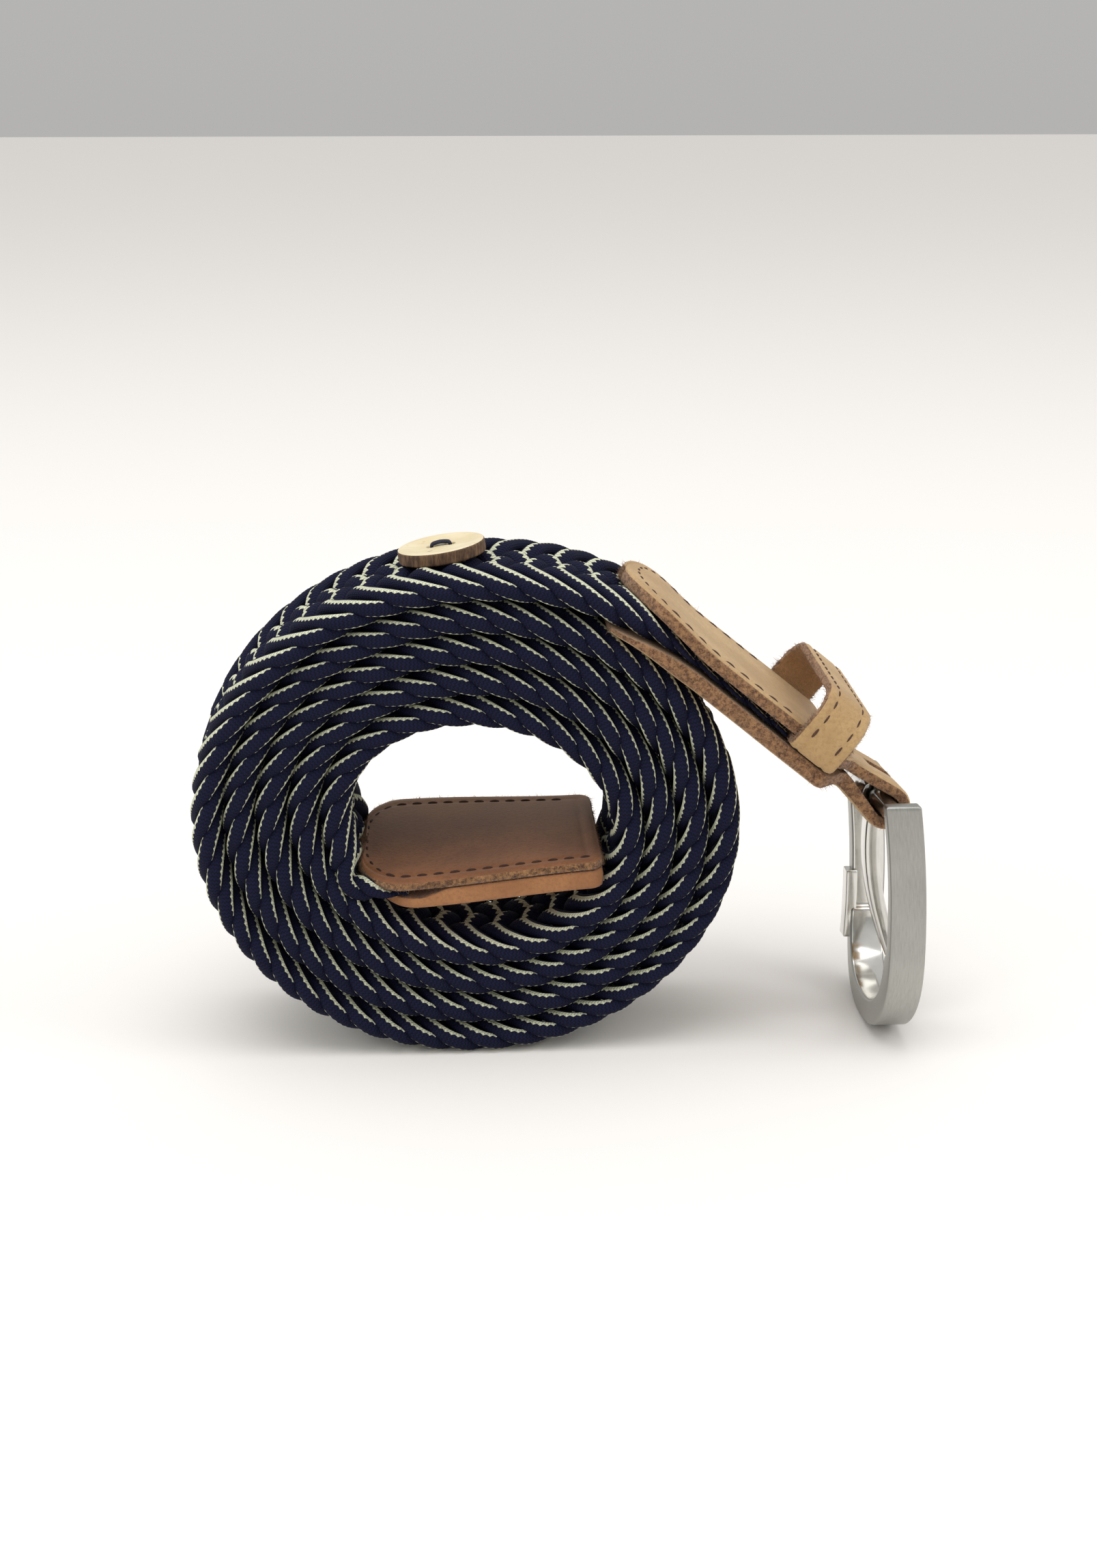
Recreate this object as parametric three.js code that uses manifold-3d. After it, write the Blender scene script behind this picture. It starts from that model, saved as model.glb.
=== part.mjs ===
// A braided belt, rolled up and standing on the edge of its roll. Millimetres.
// +X runs to the buckle, +Y away from the viewer and +Z up. The origin is on the floor, under the
// middle of the roll, halfway across the belt.
// Every piece follows one centre line: the tip's free end, the turns of the roll, the leather strap
// and the seam before the buckle. An offset from it is counted outwards, away from the roll's middle.
import * as THREE from "three";
import { mergeVertices } from "three/addons/utils/BufferGeometryUtils.js";
import Module from "manifold-3d";

const wasm = await Module();
wasm.setup();
const { degToRad } = THREE.MathUtils;

// Space kept between two pieces that touch on the real belt.
const seatGap = 0.3;

// The roll: an oval spiral of the braid.
const rollMiddleZ = 43.9;
const holeHalfWidth = 22.8;
const holeHalfHeight = 17.2;
const holeTilt = -14;
const braidThickness = 5.2;
const turnGap = 0.5;
const fullTurns = 4;
const rollStartAngle = 205;
const rollLeaveAngle = 95;
const stationsPerTurn = 52;
const braidStepFine = 0.5; // share of a turn's step, in the tip and its bend

// The braid's section.
const braidWidth = 35;
const braidEdgeRound = 1.7;
const braidSquashedRound = 0.7; // the most of its half thickness that a squeezed edge is rounded

// The leather tip, which lies across the hole of the roll.
const tipLength = 46.5;
const tipWidth = 34.5;
const tipFaceThickness = 1.7;
const tipBackThickness = 1.9;
const tipFreeEndX = 23;
const tipFreeEndZ = 36.2;
const tipRise = 3;
const tipTwist = 8;
const tipEndTwist = 2.5;
const tipRoundLength = 10;
const tipCornerRadius = 2.5;
const tipPared = 0.8;
const tipBackShort = 3;
const braidInTip = 12;
const braidInTipThickness = 1.2;
const neckReach = 5.5;
const tipTwistFade = 6;
const tipMouthIn = 4;
const tipMouthOut = 8;
const tipBackFillIn = 7;
const tipBackFillOut = 1;
const leatherStep = 3;

// The strap: one strip of leather, folded round the buckle's bar with the braid's end between.
const strapAngle = -39.3;
const strapWidth = 36;
const strapFaceThickness = 2.4;
const strapBackThickness = 3.1;
const strapFaceOverlap = 13.5;
const strapBackOverlap = 14;
const strapPared = 1;
const strapPareLength = 18;
const strapStartX = 37.2;
const strapStartZ = 76.5;
const strapSeamAt = 40.5;
const strapRoundLength = 12;
const strapCornerRadius = 3;
const braidInStrap = 24.6;
const braidInStrapThickness = 1.6;
const foldWidth = 26;
const foldTaper = 6;
const foldThickness = 2.2;
const slotWidth = 6.4;
const slotBeyondEye = 2;
const slotTaller = 8;
const strapReachOut = 22;
const strapReachIn = 10;
const strapMouthIn = 13;
const strapMouthOut = 6;
const braidEndFillIn = 8;
const braidEndFillOut = 1;
const seamGapShare = 0.6; // of seatGap, on each side of the seam

// The keeper loop, which stands across the strap.
const keeperBand = 9.4;
const keeperThickness = 1.7;
const keeperRoom = 6.6;
const keeperTopRadius = 6.5;
const keeperBaseRadius = 2.2;
const keeperPlay = 0.6;
const keeperAfterBraid = 0.5;

// The buckle: a curved band of metal with a round bar, and a prong.
const barRadius = 1.8;
const barPlay = 0.5;
const barFromSeam = 9.9;
const barAboveLine = -0.55;
const bandWidth = 6.6;
const frameOuterWidth = 42;
const frameAboveBar = 2;
const frameDrop = 44;
const armThickness = 3.5;
const hoopThickness = 4.8;
const stepAboveFoot = 16.8;
const hoopRise = 18;
const hoopSquareness = 2.4;
const frameBow = 1.5;
const frameRoll = 6;
const frameEdge = 0.45;
const bandBeyondBar = 1.25;
const lapPlateHeight = 14;
const lapPlateProud = 1.3;
const lapPlateAboveFoot = 10.8;
const lapPlateWidth = 4;
const lapPlateSunk = 1;
const prongWidth = 5;
const prongThickness = 3;
const prongTipThickness = 2.4;
const prongEyeWall = 1.1;
const prongPlay = 0.25;
const prongShort = 0.4;
const prongBelly = 3;
const prongBellyAt = 0.47; // shares of the frame's drop
const prongTurnAt = 0.77;
const prongTipOut = 0.3;

// The button on the outer turn.
const buttonDiameter = 16;
const buttonThickness = 2.4;
const buttonBevel = 0.4;
const buttonAngle = 95.5;
const buttonTilt = 3;
const buttonHoleRadius = 0.9;
const buttonHoleSpacing = 3.4;
const threadRadius = 0.55;
const threadFlat = 0.55; // share of the way between the holes that the thread lies level

const turnPitch = braidThickness + turnGap;
const rollTurns = fullTurns + (rollStartAngle - rollLeaveAngle) / 360;

// The oval spiral, run clockwise from rollStartAngle. Its tilt fades out towards the last turn.
class RollSpiral extends THREE.Curve {
  getPoint(t, target = new THREE.Vector3()) {
    const turns = t * rollTurns;
    const angle = degToRad(rollStartAngle - 360 * turns);
    const out = turnPitch * turns + braidThickness / 2;
    const tilt = degToRad(holeTilt) * (1 - t);
    const x = (holeHalfWidth + out) * Math.cos(angle);
    const z = (holeHalfHeight + out) * Math.sin(angle);
    return target.set(
      x * Math.cos(tilt) - z * Math.sin(tilt),
      0,
      rollMiddleZ + x * Math.sin(tilt) + z * Math.cos(tilt),
    );
  }
}

const along = (degrees) =>
  new THREE.Vector3(Math.cos(degToRad(degrees)), 0, Math.sin(degToRad(degrees)));

// A cubic curve that leaves one point along one direction and reaches another along a second one.
function bend(from, fromDirection, to, toDirection, reachOut, reachIn) {
  return new THREE.CubicBezierCurve3(
    from,
    from.clone().addScaledVector(fromDirection, reachOut),
    to.clone().addScaledVector(toDirection, -reachIn),
    to,
  );
}

// The centre line, from the tip's free end to the seam before the buckle.
const spiral = new RollSpiral();
spiral.arcLengthDivisions = 1500;
const tipEnd = new THREE.Vector3(tipFreeEndX, 0, tipFreeEndZ);
const tipDirection = along(180 + tipRise);
const tipNeck = tipEnd.clone().addScaledVector(tipDirection, tipLength - tipRoundLength / 2);
const strapStart = new THREE.Vector3(strapStartX, 0, strapStartZ);
const strapDirection = along(strapAngle);
const seam = strapStart.clone().addScaledVector(strapDirection, strapSeamAt);
const beltLine = new THREE.CurvePath();
beltLine.add(new THREE.LineCurve3(tipEnd, tipNeck));
beltLine.add(
  bend(tipNeck, tipDirection, spiral.getPoint(0), spiral.getTangent(0), neckReach, neckReach),
);
beltLine.add(spiral);
beltLine.add(bend(spiral.getPoint(1), spiral.getTangent(1), strapStart, strapDirection, strapReachOut, strapReachIn));
beltLine.add(new THREE.LineCurve3(strapStart, seam));
const pieceEnds = beltLine.getCurveLengths();
const lineLength = pieceEnds.at(-1);
const strapStartAt = pieceEnds.at(-2);
const rollStartAt = pieceEnds[1];
const rollEndAt = pieceEnds[2];

// Place and outward normal of the centre line at a distance from its inner end, the section's turn
// about the line, and its fall for each millimetre across, which follows the bar in the fold.
const frameSlope = Math.tan(degToRad(frameRoll));
function lineAt(distance) {
  const share = THREE.MathUtils.clamp(distance / lineLength, 0, 1);
  const tangent = beltLine.getTangent(share);
  const normal = new THREE.Vector3(-tangent.z, 0, tangent.x);
  const fromFreeEnd = THREE.MathUtils.smoothstep(distance, 0, tipLength - tipRoundLength);
  const twistIn = THREE.MathUtils.lerp(tipEndTwist, tipTwist, fromFreeEnd);
  const twistOut = 1 - THREE.MathUtils.smoothstep(distance, tipLength - tipRoundLength, rollStartAt + tipTwistFade);
  const nearFold = THREE.MathUtils.smoothstep(distance, lineLength - foldTaper, lineLength);
  return {
    point: beltLine.getPoint(share),
    normal,
    twist: degToRad(twistIn * twistOut),
    slope: frameSlope * nearFold,
  };
}

// A point of a section: across is along Y, out is along the outward normal.
function sectionPoint(frame, across, out) {
  const side = new THREE.Vector3(0, Math.cos(frame.twist), 0).addScaledVector(
    frame.normal,
    -Math.sin(frame.twist),
  );
  const up = frame.normal
    .clone()
    .multiplyScalar(Math.cos(frame.twist))
    .add(new THREE.Vector3(0, Math.sin(frame.twist), 0));
  const point = frame.point.clone().addScaledVector(side, across).addScaledVector(up, out);
  return point.setZ(point.z - frame.slope * across);
}

// A closed skin over rings of points, with a flat cap at each end.
function loft(rings) {
  const count = rings[0].length;
  const positions = rings.flat().flatMap((point) => [point.x, point.y, point.z]);
  const index = [];
  for (let ring = 0; ring + 1 < rings.length; ring++) {
    for (let corner = 0; corner < count; corner++) {
      const next = (corner + 1) % count;
      const a = ring * count + corner;
      const b = ring * count + next;
      index.push(a, a + count, b, b, a + count, b + count);
    }
  }
  const last = (rings.length - 1) * count;
  for (let corner = 1; corner + 1 < count; corner++) {
    index.push(0, corner, corner + 1);
    index.push(last, last + corner + 1, last + corner);
  }
  const geometry = new THREE.BufferGeometry();
  geometry.setAttribute("position", new THREE.Float32BufferAttribute(positions, 3));
  geometry.setIndex(index);
  return geometry;
}

function toSolid(geometry) {
  const bare = geometry.clone();
  bare.deleteAttribute("normal");
  bare.deleteAttribute("uv");
  const merged = mergeVertices(bare, 1e-4);
  return new wasm.Manifold(
    new wasm.Mesh({
      numProp: 3,
      vertProperties: new Float32Array(merged.attributes.position.array),
      triVerts: new Uint32Array(merged.index.array),
    }),
  );
}

function toGeometry(solid) {
  const mesh = solid.getMesh();
  const geometry = new THREE.BufferGeometry();
  geometry.setAttribute("position", new THREE.BufferAttribute(mesh.vertProperties, 3));
  geometry.setIndex(new THREE.BufferAttribute(mesh.triVerts, 1));
  return geometry;
}

const belt = new THREE.Group();

function addPiece(name, geometry, color, roughness, metalness = 0) {
  geometry.computeVertexNormals();
  const mesh = new THREE.Mesh(geometry, new THREE.MeshStandardMaterial({ color, roughness, metalness }));
  mesh.name = name;
  belt.add(mesh);
  return mesh;
}

const navy = 0x1c1e3e;
const tan = 0xc8965f;
const brown = 0x78482a;
const nickel = 0xc9c9c2;
const coconut = 0xe0cda0;

// Distances from one end to another, about one step apart.
function steps(from, to, step) {
  const count = Math.max(1, Math.ceil((to - from) / step));
  return Array.from({ length: count + 1 }, (_, i) => from + ((to - from) * i) / count);
}

// The braid

const braidStartAt = tipLength - braidInTip;
const braidEndAt = strapStartAt + braidInStrap;

// Thickness of the braid: squeezed where leather is sewn over it.
function braidThicknessAt(distance) {
  const inTip = THREE.MathUtils.smoothstep(distance, tipLength - tipMouthIn, tipLength + tipMouthOut);
  const inStrap = THREE.MathUtils.smoothstep(
    distance,
    strapStartAt - strapMouthIn,
    strapStartAt + strapMouthOut,
  );
  return (
    braidThickness -
    (braidThickness - braidInTipThickness) * (1 - inTip) -
    (braidThickness - braidInStrapThickness) * inStrap
  );
}

function braidRing(distance) {
  const frame = lineAt(distance);
  const halfWidth = braidWidth / 2;
  const halfThickness = braidThicknessAt(distance) / 2;
  const round = Math.min(braidEdgeRound, halfThickness * braidSquashedRound);
  const corners = [
    [-halfWidth, -halfThickness + round],
    [-halfWidth, halfThickness - round],
    [-halfWidth + round, halfThickness],
    [halfWidth - round, halfThickness],
    [halfWidth, halfThickness - round],
    [halfWidth, -halfThickness + round],
    [halfWidth - round, -halfThickness],
    [-halfWidth + round, -halfThickness],
  ];
  const ring = corners.map(([across, out]) => sectionPoint(frame, across, out));
  // The bottom turn lies flat where it meets the floor.
  ring.forEach((point) => point.setZ(Math.max(point.z, 0)));
  return ring;
}

const turnStep = (2 * Math.PI * (holeHalfWidth + turnPitch * 2.5)) / stationsPerTurn;
const braidStations = [
  ...steps(braidStartAt, rollStartAt, turnStep * braidStepFine),
  ...steps(rollStartAt, rollEndAt, turnStep).slice(1),
  ...steps(rollEndAt, braidEndAt, turnStep).slice(1),
];
addPiece("braid", loft(braidStations.map(braidRing)), navy, 0.85);

// A flat strip of leather that follows the centre line. Each station gives its two faces' offsets
// and its half width.
function strip(stations) {
  return loft(
    stations.map(({ frame, inner, outer, half }) =>
      [
        [-half, inner],
        [-half, outer],
        [half, outer],
        [half, inner],
      ].map(([across, out]) => sectionPoint(frame, across, out)),
    ),
  );
}

// Half width of a strip with an elliptic end, at a distance from that end.
function roundedHalf(fromEnd, halfWidth, roundLength) {
  const share = THREE.MathUtils.clamp(fromEnd / roundLength, 0.02, 1);
  return halfWidth * Math.sqrt(1 - (1 - share) ** 2);
}

// The tip: two leathers with the braid's end between them. The face looks up, into the hole.

const tipHalf = tipWidth / 2;

function tipHalfAt(distance, length) {
  const atNeck = roundedHalf(length - distance, tipHalf, tipRoundLength);
  const atFree = tipHalf - tipCornerRadius + roundedHalf(distance, tipCornerRadius, tipCornerRadius);
  return Math.min(atNeck, atFree);
}

function tipStrip(length, offsets) {
  const stops = [
    ...steps(0, tipCornerRadius, tipCornerRadius / 3),
    ...steps(tipCornerRadius, length - tipRoundLength, leatherStep).slice(1),
    ...steps(length - tipRoundLength, length, tipRoundLength / 7).slice(1),
  ];
  return strip(
    stops.map((distance) => ({
      frame: lineAt(distance),
      half: tipHalfAt(distance, length),
      ...offsets(distance),
    })),
  );
}

// Where the braid stops, the back leather fills its place.
function tipInside(distance) {
  const filled = 1 - THREE.MathUtils.smoothstep(
    distance,
    braidStartAt - tipBackFillIn,
    braidStartAt - tipBackFillOut,
  );
  const braidHalf = braidThicknessAt(distance) / 2 + seatGap;
  return { braidHalf, filled };
}

addPiece(
  "tip_face",
  tipStrip(tipLength, (distance) => {
    const { braidHalf } = tipInside(distance);
    return { inner: -braidHalf - tipFaceThickness, outer: -braidHalf };
  }),
  brown,
  0.6,
);
addPiece(
  "tip_back",
  tipStrip(tipLength - tipBackShort, (distance) => {
    const { braidHalf, filled } = tipInside(distance);
    const pared = THREE.MathUtils.smoothstep(distance, tipLength - tipRoundLength, tipLength);
    return {
      inner: THREE.MathUtils.lerp(braidHalf, -braidHalf + seatGap, filled),
      outer: braidHalf + THREE.MathUtils.lerp(tipBackThickness, tipPared, pared),
    };
  }),
  brown,
  0.65,
);

// The strap

const keeperAt = braidInStrap + keeperAfterBraid;
const barCentre = seam
  .clone()
  .addScaledVector(strapDirection, barFromSeam)
  .addScaledVector(along(strapAngle + 90), barAboveLine);
const foldRadius = barRadius + barPlay + foldThickness / 2;
const gapAtSeam = seatGap * seamGapShare;

// Offset of the strap's leathers from the centre line: past the braid's end they close on the
// keeper's base, and on each other at the seam.
function strapInside(distance) {
  const atBase = keeperThickness / 2 + seatGap;
  const onBraid = braidThicknessAt(distance) / 2 + seatGap;
  const pastBraid = THREE.MathUtils.smoothstep(
    distance,
    braidEndAt - braidEndFillIn,
    braidEndAt - braidEndFillOut,
  );
  const atSeam = THREE.MathUtils.smoothstep(distance, lineLength - foldTaper, lineLength);
  const carried = THREE.MathUtils.lerp(onBraid, Math.max(onBraid, atBase), pastBraid);
  return THREE.MathUtils.lerp(carried, gapAtSeam, atSeam);
}

function strapHalfAt(distance) {
  const narrowed = THREE.MathUtils.smoothstep(distance, lineLength - foldTaper, lineLength);
  return THREE.MathUtils.lerp(strapWidth, foldWidth, narrowed) / 2;
}

const faceStartAt = strapStartAt - strapFaceOverlap;
const backStartAt = strapStartAt - strapBackOverlap;

function faceStation(distance) {
  const inside = strapInside(distance);
  return {
    frame: lineAt(distance),
    half: Math.min(
      strapHalfAt(distance),
      roundedHalf(distance - faceStartAt, strapWidth / 2, strapRoundLength),
    ),
    inner: inside,
    outer: inside + strapFaceThickness,
  };
}

// The back leather is pared thin where it slips under the outer turn.
function backStation(distance) {
  const inside = strapInside(distance);
  const full = THREE.MathUtils.smoothstep(distance, backStartAt, backStartAt + strapPareLength);
  const thickness = THREE.MathUtils.lerp(strapPared, strapBackThickness, full);
  return {
    frame: lineAt(distance),
    half: Math.min(
      strapHalfAt(distance),
      strapWidth / 2 -
        strapCornerRadius +
        roundedHalf(distance - backStartAt, strapCornerRadius, strapCornerRadius),
    ),
    inner: -inside,
    outer: -inside - thickness,
  };
}

// The fold: from the seam over the bar, round it and back. It is a path in the XZ plane, sampled
// clockwise, with the strip's outer face on its left.
function foldStations() {
  const up = along(strapAngle + 90);
  const faceEnd = seam.clone().addScaledVector(up, gapAtSeam + strapFaceThickness / 2);
  const backEnd = seam.clone().addScaledVector(up, -gapAtSeam - strapBackThickness / 2);
  const tangentAngle = (from, side) => {
    const away = from.clone().sub(barCentre);
    const spread = Math.acos(foldRadius / away.length());
    return Math.atan2(away.z, away.x) + side * spread;
  };
  const over = tangentAngle(faceEnd, -1);
  const under = tangentAngle(backEnd, 1) - 2 * Math.PI;
  return steps(0, 1, 1 / 16).map((share) => {
    const angle = THREE.MathUtils.lerp(over, under, share);
    const normal = new THREE.Vector3(Math.cos(angle), 0, Math.sin(angle));
    const point = barCentre.clone().addScaledVector(normal, foldRadius);
    return {
      frame: { point, normal, twist: 0, slope: frameSlope },
      half: foldWidth / 2,
      inner: -foldThickness / 2,
      outer: foldThickness / 2,
    };
  });
}

const faceStops = [
  ...steps(faceStartAt, faceStartAt + strapRoundLength, strapRoundLength / 8),
  ...steps(faceStartAt + strapRoundLength, lineLength, leatherStep).slice(1),
];
const backStops = [
  ...steps(backStartAt, backStartAt + strapCornerRadius, strapCornerRadius / 3),
  ...steps(backStartAt + strapCornerRadius, lineLength, leatherStep).slice(1),
].reverse();
const strapSolid = toSolid(
  strip([...faceStops.map(faceStation), ...foldStations(), ...backStops.map(backStation)]),
);

// The slot in the fold, which lets the prong through.
const slotReach = 2 * (foldRadius + foldThickness);
const slotBox = new THREE.BoxGeometry(slotReach, slotWidth, slotReach + slotTaller);
slotBox.rotateY(-degToRad(strapAngle));
const slotMiddle = barCentre
  .clone()
  .addScaledVector(strapDirection, slotReach / 2 - barRadius - barPlay - prongEyeWall - slotBeyondEye);
slotBox.translate(slotMiddle.x, 0, slotMiddle.z);
addPiece("strap", toGeometry(strapSolid.subtract(toSolid(slotBox))), tan, 0.8);

// The keeper loop

function roundedRectangle(target, half, low, high, lowRadius, highRadius) {
  target.moveTo(-half + lowRadius, low);
  target.lineTo(half - lowRadius, low);
  target.absarc(half - lowRadius, low + lowRadius, lowRadius, -Math.PI / 2, 0, false);
  target.lineTo(half, high - highRadius);
  target.absarc(half - highRadius, high - highRadius, highRadius, 0, Math.PI / 2, false);
  target.lineTo(-half + highRadius, high);
  target.absarc(-half + highRadius, high - highRadius, highRadius, Math.PI / 2, Math.PI, false);
  target.lineTo(-half, low + lowRadius);
  target.absarc(-half + lowRadius, low + lowRadius, lowRadius, Math.PI, 1.5 * Math.PI, false);
  return target;
}

const keeperInner = strapWidth / 2 + keeperPlay;
const keeperHigh = keeperThickness / 2 + 2 * seatGap + strapFaceThickness + keeperRoom;
const keeperShape = roundedRectangle(
  new THREE.Shape(),
  keeperInner + keeperThickness,
  -keeperThickness / 2,
  keeperHigh + keeperThickness,
  keeperBaseRadius,
  keeperTopRadius,
);
keeperShape.holes.push(
  roundedRectangle(
    new THREE.Path(),
    keeperInner,
    keeperThickness / 2,
    keeperHigh,
    keeperBaseRadius - keeperThickness,
    keeperTopRadius - keeperThickness,
  ),
);
const keeper = addPiece(
  "keeper_loop",
  new THREE.ExtrudeGeometry(keeperShape, { depth: keeperBand, bevelEnabled: false, curveSegments: 4 }),
  tan,
  0.8,
);
keeper.setRotationFromMatrix(
  new THREE.Matrix4().makeBasis(
    new THREE.Vector3(0, 1, 0),
    along(strapAngle + 90),
    strapDirection,
  ),
);
keeper.position.copy(strapStart).addScaledVector(strapDirection, keeperAt);

// The frame, drawn along -X with Y to the right, Z up and the bar's middle at the origin: one arm's
// line, the hoop at the foot and the other arm's line.
function hoopLine(halfWidth, foot, rise) {
  return steps(0, 1, 1 / 18).map((share) => {
    const angle = Math.PI * share;
    const power = 2 / hoopSquareness;
    const across = Math.sign(Math.cos(angle)) * Math.abs(Math.cos(angle)) ** power;
    return new THREE.Vector2(halfWidth * across, foot + rise * (1 - Math.sin(angle) ** power));
  });
}

function armLine(across, top, low) {
  return steps(0, 1, 1 / 6).map((share) => new THREE.Vector2(across, THREE.MathUtils.lerp(top, low, share)));
}

const mirrored = (points) => points.map(({ x, y }) => new THREE.Vector2(-x, y)).reverse();
const frameHalf = frameOuterWidth / 2;
const hoopTop = hoopRise - frameDrop;
const stepAt = stepAboveFoot - frameDrop;
const outerArm = armLine(frameHalf, frameAboveBar, hoopTop).slice(0, -1);
const innerArm = armLine(frameHalf - armThickness, frameAboveBar, stepAt);
const outerHoop = hoopLine(frameHalf, -frameDrop, hoopRise);
const innerHoop = hoopLine(
  frameHalf - hoopThickness,
  hoopThickness - frameDrop,
  stepAboveFoot - hoopThickness,
);
const frameShape = new THREE.Shape([
  ...outerArm,
  ...outerHoop,
  ...mirrored(outerArm),
  ...[...innerArm, ...innerHoop, ...mirrored(innerArm)].reverse(),
]);
const band = new THREE.ExtrudeGeometry(frameShape, {
  depth: bandWidth - 2 * frameEdge,
  bevelThickness: frameEdge,
  bevelSize: frameEdge,
  bevelOffset: -frameEdge,
  bevelSegments: 1,
});
// The extrusion's depth becomes X, and the band bows outwards between its top and its foot.
const basis = new THREE.Matrix4().makeBasis(
  new THREE.Vector3(0, 1, 0),
  new THREE.Vector3(0, 0, 1),
  new THREE.Vector3(1, 0, 0),
);
band.translate(0, 0, bandBeyondBar - bandWidth / 2 + frameEdge).applyMatrix4(basis);
const bowMiddle = (frameAboveBar - frameDrop) / 2;
const bowHalf = (frameAboveBar + frameDrop) / 2;
const bowAt = (z) => frameBow * (1 - ((z - bowMiddle) / bowHalf) ** 2);
const bandPoints = band.getAttribute("position");
for (let i = 0; i < bandPoints.count; i++) {
  bandPoints.setX(i, bandPoints.getX(i) + bowAt(bandPoints.getZ(i)));
}
const bar = new THREE.CylinderGeometry(barRadius, barRadius, frameOuterWidth - armThickness, 20);
// A small plate laps the far arm's back, across the step where its two thicknesses meet.
const plateMiddleZ = lapPlateAboveFoot + lapPlateHeight / 2 - frameDrop;
const plate = new THREE.BoxGeometry(lapPlateProud + lapPlateSunk, lapPlateWidth, lapPlateHeight);
plate.translate(
  bandBeyondBar - bandWidth / 2 + bowAt(plateMiddleZ) + (lapPlateSunk - lapPlateProud) / 2,
  frameHalf - hoopThickness / 2,
  plateMiddleZ,
);
const frameSolid = toSolid(band).add(toSolid(bar)).add(toSolid(plate));

// The prong, drawn in the XZ plane: an eye round the bar, and a stem that bows out through the
// frame and comes to rest on the hoop's front face.
const eyeInner = barRadius + prongPlay;
const eyeOuter = eyeInner + prongEyeWall;
const hoopFace = bandBeyondBar + bandWidth / 2 + bowAt(hoopThickness - frameDrop);
const seatX = hoopFace + seatGap + prongTipThickness / 2;
const stemLine = new THREE.CubicBezierCurve(
  new THREE.Vector2(0, -eyeInner - prongEyeWall / 2),
  new THREE.Vector2(-prongBelly, -frameDrop * prongBellyAt),
  new THREE.Vector2(seatX, -frameDrop * prongTurnAt),
  new THREE.Vector2(seatX + prongTipOut, -frameDrop + prongShort),
);
const stemSide = (side) =>
  steps(0, 1, 1 / 14).map((share) => {
    const tangent = stemLine.getTangent(share);
    const half = THREE.MathUtils.lerp(prongThickness, prongTipThickness, share) / 2;
    return stemLine.getPoint(share).add(new THREE.Vector2(-tangent.y, tangent.x).multiplyScalar(side * half));
  });
const stemShape = new THREE.Shape([...stemSide(-1), ...stemSide(1).reverse()]);
const eyeShape = new THREE.Shape().absarc(0, 0, eyeOuter, 0, 2 * Math.PI, false);
const eyeHole = new THREE.Shape().absarc(0, 0, eyeInner, 0, 2 * Math.PI, false);
// A flat shape in XZ made prongWidth thick along Y.
function slab(shape, thickness, curveSegments) {
  const geometry = new THREE.ExtrudeGeometry(shape, { depth: thickness, bevelEnabled: false, curveSegments });
  return geometry.translate(0, 0, -thickness / 2).rotateX(Math.PI / 2);
}
const prongSolid = toSolid(slab(eyeShape, prongWidth, 12))
  .add(toSolid(slab(stemShape, prongWidth, 1)))
  .subtract(toSolid(slab(eyeHole, prongWidth * 2, 10)));

// Both hang from the bar, rolled a little about X. The foot stands on the floor, so where the
// frame reaches further than the bar's height it leans out.
const roll = degToRad(frameRoll);
const footReach = Math.max(...outerHoop.map(({ x, y }) => x * Math.sin(roll) - y * Math.cos(roll)));
const lean = Math.acos(Math.min(1, barCentre.z / footReach));
const buckleTurn = new THREE.Matrix4()
  .makeRotationY(-lean)
  .multiply(new THREE.Matrix4().makeRotationX(-roll));
for (const [name, solid, roughness] of [
  ["buckle_frame", frameSolid, 0.35],
  ["prong", prongSolid, 0.2],
]) {
  const mesh = addPiece(name, toGeometry(solid), nickel, roughness, 1);
  mesh.position.copy(barCentre);
  mesh.setRotationFromMatrix(buckleTurn);
}

// The button, seated on the outer turn, and the thread through its two holes.

const buttonShare = (fullTurns + (rollStartAngle - buttonAngle) / 360) / rollTurns;
const seatTangent = spiral.getTangent(buttonShare);
const buttonTangent = seatTangent.clone().applyAxisAngle(new THREE.Vector3(0, 1, 0), -degToRad(buttonTilt));
const buttonNormal = new THREE.Vector3(-buttonTangent.z, 0, buttonTangent.x);
const seatNormal = new THREE.Vector3(-seatTangent.z, 0, seatTangent.x);
const buttonShape = new THREE.Shape().absarc(0, 0, buttonDiameter / 2, 0, 2 * Math.PI, false);
for (const side of [-1, 1]) {
  buttonShape.holes.push(
    new THREE.Path().absarc((side * buttonHoleSpacing) / 2, 0, buttonHoleRadius, 0, 2 * Math.PI, true),
  );
}
const buttonGeometry = new THREE.ExtrudeGeometry(buttonShape, {
  depth: buttonThickness - 2 * buttonBevel,
  bevelThickness: buttonBevel,
  bevelSize: buttonBevel,
  bevelOffset: -buttonBevel,
  bevelSegments: 1,
  curveSegments: 14,
}).translate(0, 0, buttonBevel);
const topOfThread = buttonThickness + seatGap + threadRadius;
const threadHalf = buttonHoleSpacing / 2;
const threadPath = new THREE.CatmullRomCurve3(
  [
    [-threadHalf, 0],
    [-threadHalf, buttonThickness * 0.5],
    [-threadHalf, buttonThickness],
    [-threadHalf * threadFlat, topOfThread],
    [threadHalf * threadFlat, topOfThread],
    [threadHalf, buttonThickness],
    [threadHalf, buttonThickness * 0.5],
    [threadHalf, 0],
  ].map(([x, z]) => new THREE.Vector3(x, 0, z)),
  false,
  "centripetal",
);
const threadSection = new THREE.Shape().absarc(0, 0, threadRadius, 0, 2 * Math.PI, false);
const threadGeometry = new THREE.ExtrudeGeometry(threadSection, {
  steps: 18,
  extrudePath: threadPath,
  curveSegments: 4,
});
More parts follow.
